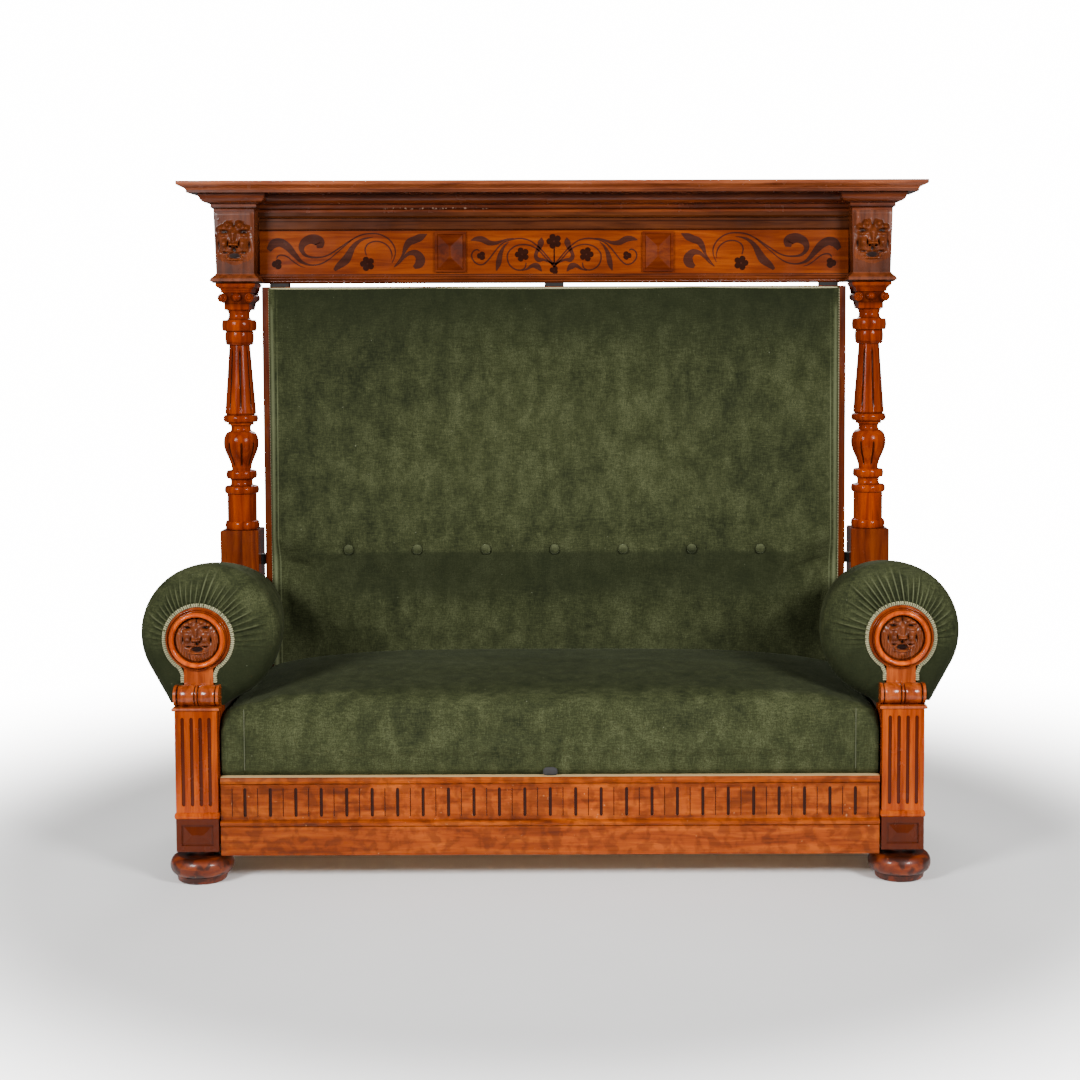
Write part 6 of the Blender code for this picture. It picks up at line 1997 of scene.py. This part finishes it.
@dataclass(frozen=True)
class Studio:
    """Pale floor, soft light from both sides and from behind, and the camera."""

    eye: Point = (0.1215, -4.7079, 1.3195)
    pitch: float = 0.0700
    yaw: float = 0.0035
    roll: float = -0.0027
    lens: float = 63.04
    shift: tuple[float, float] = (-0.0624, -0.0783)

    def build(self) -> None:
        """Makes floor, lights and camera."""
        self.floor()
        self.surroundings()
        seat, back = (0.0, 0.0, 0.35), (0.0, 0.2, 0.9)
        self.softbox("key_left", (-2.4, -3.2, 2.3), aim=seat, size=1.1, power=42.0)
        self.softbox("key_right", (2.5, -3.2, 2.3), aim=seat, size=1.1, power=44.0)
        self.softbox("fill_rear", (0.0, 3.0, 3.2), aim=back, size=2.0, power=30.0)
        data = bpy.data.cameras.new("photo_view")
        data.sensor_width = 36.0
        data.lens = self.lens
        data.shift_x, data.shift_y = self.shift
        camera = bpy.data.objects.new("photo_view", data)
        turn = Matrix.Rotation(-self.yaw, 4, "Z") @ Matrix.Rotation(math.pi / 2 - self.pitch, 4, "X")
        camera.matrix_world = Matrix.Translation(self.eye) @ turn @ Matrix.Rotation(self.roll, 4, "Z")
        bpy.context.scene.collection.objects.link(camera)
        bpy.context.scene.camera = camera

    @staticmethod
    def surroundings() -> None:
        """Room light: pure white as the camera sees it, else dim, and dimmest behind the sofa."""
        world = bpy.data.worlds.new("studio")
        world.use_nodes = True
        tree = world.node_tree
        background = tree.nodes["Background"]
        background.inputs["Color"].default_value = (1.0, 0.99, 0.98, 1.0)
        split = tree.nodes.new("ShaderNodeSeparateXYZ")
        level = tree.nodes.new("ShaderNodeMapRange")
        for name, number in (("From Min", 0.0), ("From Max", 0.8), ("To Min", 0.24), ("To Max", 0.10)):
            level.inputs[name].default_value = number
        tree.links.new(tree.nodes.new("ShaderNodeTexCoord").outputs["Generated"], split.inputs[0])
        tree.links.new(split.outputs["Y"], level.inputs["Value"])
        shown = tree.nodes.new("ShaderNodeMix")
        shown.inputs["B"].default_value = 16.0
        tree.links.new(tree.nodes.new("ShaderNodeLightPath").outputs["Is Camera Ray"], shown.inputs["Factor"])
        tree.links.new(level.outputs["Result"], shown.inputs["A"])
        tree.links.new(shown.outputs["Result"], background.inputs["Strength"])
        bpy.context.scene.world = world

    @staticmethod
    def floor() -> None:
        """Round pale floor that fades into the white sweep."""
        radius = np.array([0.0, 3.0, 14.0])[:, None]
        angle = np.linspace(0.0, 2 * np.pi, 64, endpoint=False)
        points = stacked(radius * np.cos(angle), radius * np.sin(angle), -0.0005)
        graph = Graph("pale_floor")
        mottle = graph.even(3.0, 3.0)
        colour = graph.ramp(mottle, ((0.3, (0.92, 0.915, 0.905)), (0.7, (0.94, 0.935, 0.925))))
        mesh = Surface().grid(points, Wrap.COLUMNS).mesh("pale_floor", 60.0)
        if mesh.polygons[0].normal.z < 0:
            mesh.flip_normals()
        x, y, _ = graph.axes()
        squares = [graph.maths("MULTIPLY", axis, axis) for axis in (x, y)]
        away = graph.maths("SQRT", graph.maths("ADD", *squares))
        graph.feed(graph.shader.inputs["Alpha"], graph.levels(away, 1.25, 2.9, 1.0, 0.0))
        mesh.materials.append(graph.dress(colour, 0.75))
        floor = bpy.data.objects.new("pale_floor", mesh)
        bpy.context.scene.collection.objects.link(floor)

    @staticmethod
    def softbox(name: str, place: Point, aim: Point, size: float, power: float) -> None:
        """Adds a square area light with a grid over it, which looks at a point."""
        data = bpy.data.lights.new(name, "AREA")
        data.size = size
        data.energy = power
        data.spread = math.radians(75.0)
        light = bpy.data.objects.new(name, data)
        light.location = place
        light.rotation_euler = (Vector(aim) - Vector(place)).to_track_quat("-Z", "Y").to_euler()
        bpy.context.scene.collection.objects.link(light)


def polished_finishes() -> dict[str, Material]:
    """Builds the polished woods, by what they cover."""
    upright = PolishedWood("walnut_upright", Grain.ALONG_Z)
    level = PolishedWood("walnut_level", Grain.ALONG_X)
    plinth = 0.157
    # Painted shade in the front posts' flutes and in the sunk line round each plinth panel; base darkens each
    # plinth's whole face.
    flutes = Recess(
        POST_X, 0.046, start=FRONT + 0.0009, full=FRONT + 0.0036, end=FRONT + 0.0080, low=plinth, high=0.411
    )
    panel = replace(flutes, start=FRONT + 0.0040, full=FRONT + 0.0045, low=0.080, high=plinth)
    base = Recess(
        POST_X,
        0.060,
        start=FRONT - 0.0200,
        full=FRONT - 0.0100,
        end=FRONT + 0.1000,
        low=0.070,
        high=plinth,
        strength=0.95,
    )
    # Painted shade in the drawer front's grooves.
    grooves = Recess(
        0.0, 0.7755, start=FRONT + 0.0103, full=FRONT + 0.0109, end=FRONT + 0.0140, low=0.1500, high=0.2360
    )
    finishes = {
        "rail": level,
        "stile": upright.aged_and_lit("walnut_shaded", 0.48),
        # Darker: painted shade under the cornice, with older polish.
        "pyramid": level.aged_and_lit("walnut_moulded", 0.46, gloss=0.46, coat=0.0, specular=0.08),
        # Paler: a lit copy, painted light on the arms' rings.
        "ring": upright.aged_and_lit("walnut_ring", 2.05, gloss=0.16, coat=0.14, specular=0.16),
        "foot": level.aged_and_lit("walnut_worn", 0.55, gloss=0.42, wear=0.85),
        # A little paler: a lit copy, painted light on the front posts.
        "post": upright.aged_and_lit(
            "walnut_fluted",
            1.12,
            grime=(0.050, 0.0070, 0.001),
            coat=0.08,
            specular=0.15,
            recesses=(flutes, panel, base),
        ),
        # Darker than the rails' wood: painted shade on the columns; the redder hue is their own.
        "column": PolishedWood(
            "walnut_turned",
            Grain.ALONG_Z,
            light=(0.327, 0.0455, 0.001),
            middle=(0.202, 0.0215, 0.001),
            dark=(0.082, 0.008, 0.001),
            gloss=0.16,
            coat=0.02,
            specular=0.08,
        ),
        # Darker than the rails' wood: partly painted shade under the corona; the flakes in the scuffed range
        # are wear.
        "moulding": PolishedWood(
            "walnut_scuffed",
            Grain.ALONG_X,
            light=(0.205, 0.043, 0.008),
            middle=(0.130, 0.024, 0.005),
            dark=(0.052, 0.009, 0.002),
            scuffed=(-0.46, -0.17, 1.6185, 1.6225),
        ),
        # More green and blue than the other woods: painted reflection of the pale room on the corona's face.
        "corona": PolishedWood(
            "walnut_corona",
            Grain.ALONG_X,
            light=(0.46, 0.120, 0.038),
            middle=(0.30, 0.072, 0.023),
            dark=(0.12, 0.024, 0.008),
        ),
        "carving": PolishedWood(
            "walnut_carved",
            Grain.ALONG_Z,
            light=(0.235, 0.055, 0.015),
            middle=(0.140, 0.031, 0.008),
            dark=(0.050, 0.010, 0.003),
            grime=(0.004, 0.001, 0.001),
            gloss=0.28,
            coat=0.02,
        ),
        # A little more green and blue than the other woods: painted reflection haze on the scrolls.
        "scroll": PolishedWood(
            "walnut_scroll",
            Grain.ALONG_Z,
            light=(0.40, 0.078, 0.009),
            middle=(0.24, 0.038, 0.004),
            dark=(0.095, 0.012, 0.001),
            coat=0.3,
        ),
        "drawer": PolishedWood(
            "walnut_drawer",
            Grain.ALONG_X,
            light=(0.360, 0.070, 0.003),
            middle=(0.225, 0.036, 0.001),
            dark=(0.075, 0.010, 0.001),
            gloss=0.32,
            coat=0.03,
            specular=0.17,
            wear=0.40,
            recesses=(grooves,),
            bare=0.2529,
        ),
        # Darker than the honey wood is: partly painted shade under the corona.
        "veneer": FriezeVeneer(
            "honey_veneer",
            Grain.ALONG_X,
            light=(0.300, 0.056, 0.002),
            middle=(0.205, 0.031, 0.001),
            dark=(0.105, 0.013, 0.001),
            coat=0.06,
        ),
        "inlay": PolishedWood(
            "dark_inlay",
            Grain.ALONG_X,
            light=(0.080, 0.022, 0.012),
            middle=(0.052, 0.014, 0.008),
            dark=(0.030, 0.008, 0.005),
            coat=0.03,
            specular=0.12,
        ),
    }
    return {name: finish.material() for name, finish in finishes.items()}


def plain_finishes() -> dict[str, Material]:
    """Builds the cloths, threads, plain woods, iron and leather."""
    finishes = {
        "velvet": Velvet(),
        "button": Velvet("button_velvet", sheen=0.5),
        "gimp": Thread("pale_gimp", (0.40, 0.37, 0.20), (0.055, 0.068, 0.026)),
        "seam": Thread("seam_thread", (0.075, 0.083, 0.040), (0.03, 0.035, 0.018)),
        "jute": Thread("jute", (0.36, 0.26, 0.14), (0.16, 0.10, 0.05)),
        "linen": Thread("linen", (0.45, 0.40, 0.30), (0.28, 0.24, 0.17), 1400.0),
        "beech_x": PlainWood("beech_level", Grain.ALONG_X),
        "beech_y": PlainWood("beech_deep", Grain.ALONG_Y),
        "stained": PlainWood("beech_stained", Grain.ALONG_Y, (0.050, 0.030, 0.018), (0.020, 0.012, 0.007)),
        "iron": Worn("blackened_iron", (0.006, 0.006, 0.006), (0.018, 0.015, 0.013), 0.6, 0.4),
        "leather": Worn("pull_leather", (0.008, 0.0075, 0.008), (0.020, 0.018, 0.019), 0.75),
    }
    return {name: finish.material() for name, finish in finishes.items()}


def main() -> None:
    """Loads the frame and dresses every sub-assembly."""
    logging.basicConfig(level=logging.INFO, format="%(message)s")
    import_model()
    Studio().build()
    polished, plain = polished_finishes(), plain_finishes()
    for side in Side:
        FrontSupport(side).build(polished["scroll"], polished["foot"], polished["post"])
        ArmMedallion(side).build(polished["ring"], polished["carving"])
        ArmUpholstery(side).build(plain["velvet"], plain["gimp"])
        ColumnOrder(side).build(polished["column"], polished["carving"], polished["stile"])
    Cornice().build(polished["corona"], polished["moulding"])
    Frieze().build(polished["veneer"], polished["moulding"], polished["pyramid"], polished["inlay"])
    BackUpholstery().build(plain["velvet"], plain["button"], plain["gimp"])
    SeatUpholstery().build(plain["velvet"], plain["seam"])
    BedDrawer().build(polished["drawer"], plain["beech_x"], plain["beech_y"], plain["jute"], plain["leather"])
    HiddenFrame().build(polished["rail"], polished["stile"], plain)


if __name__ == "__main__":
    main()
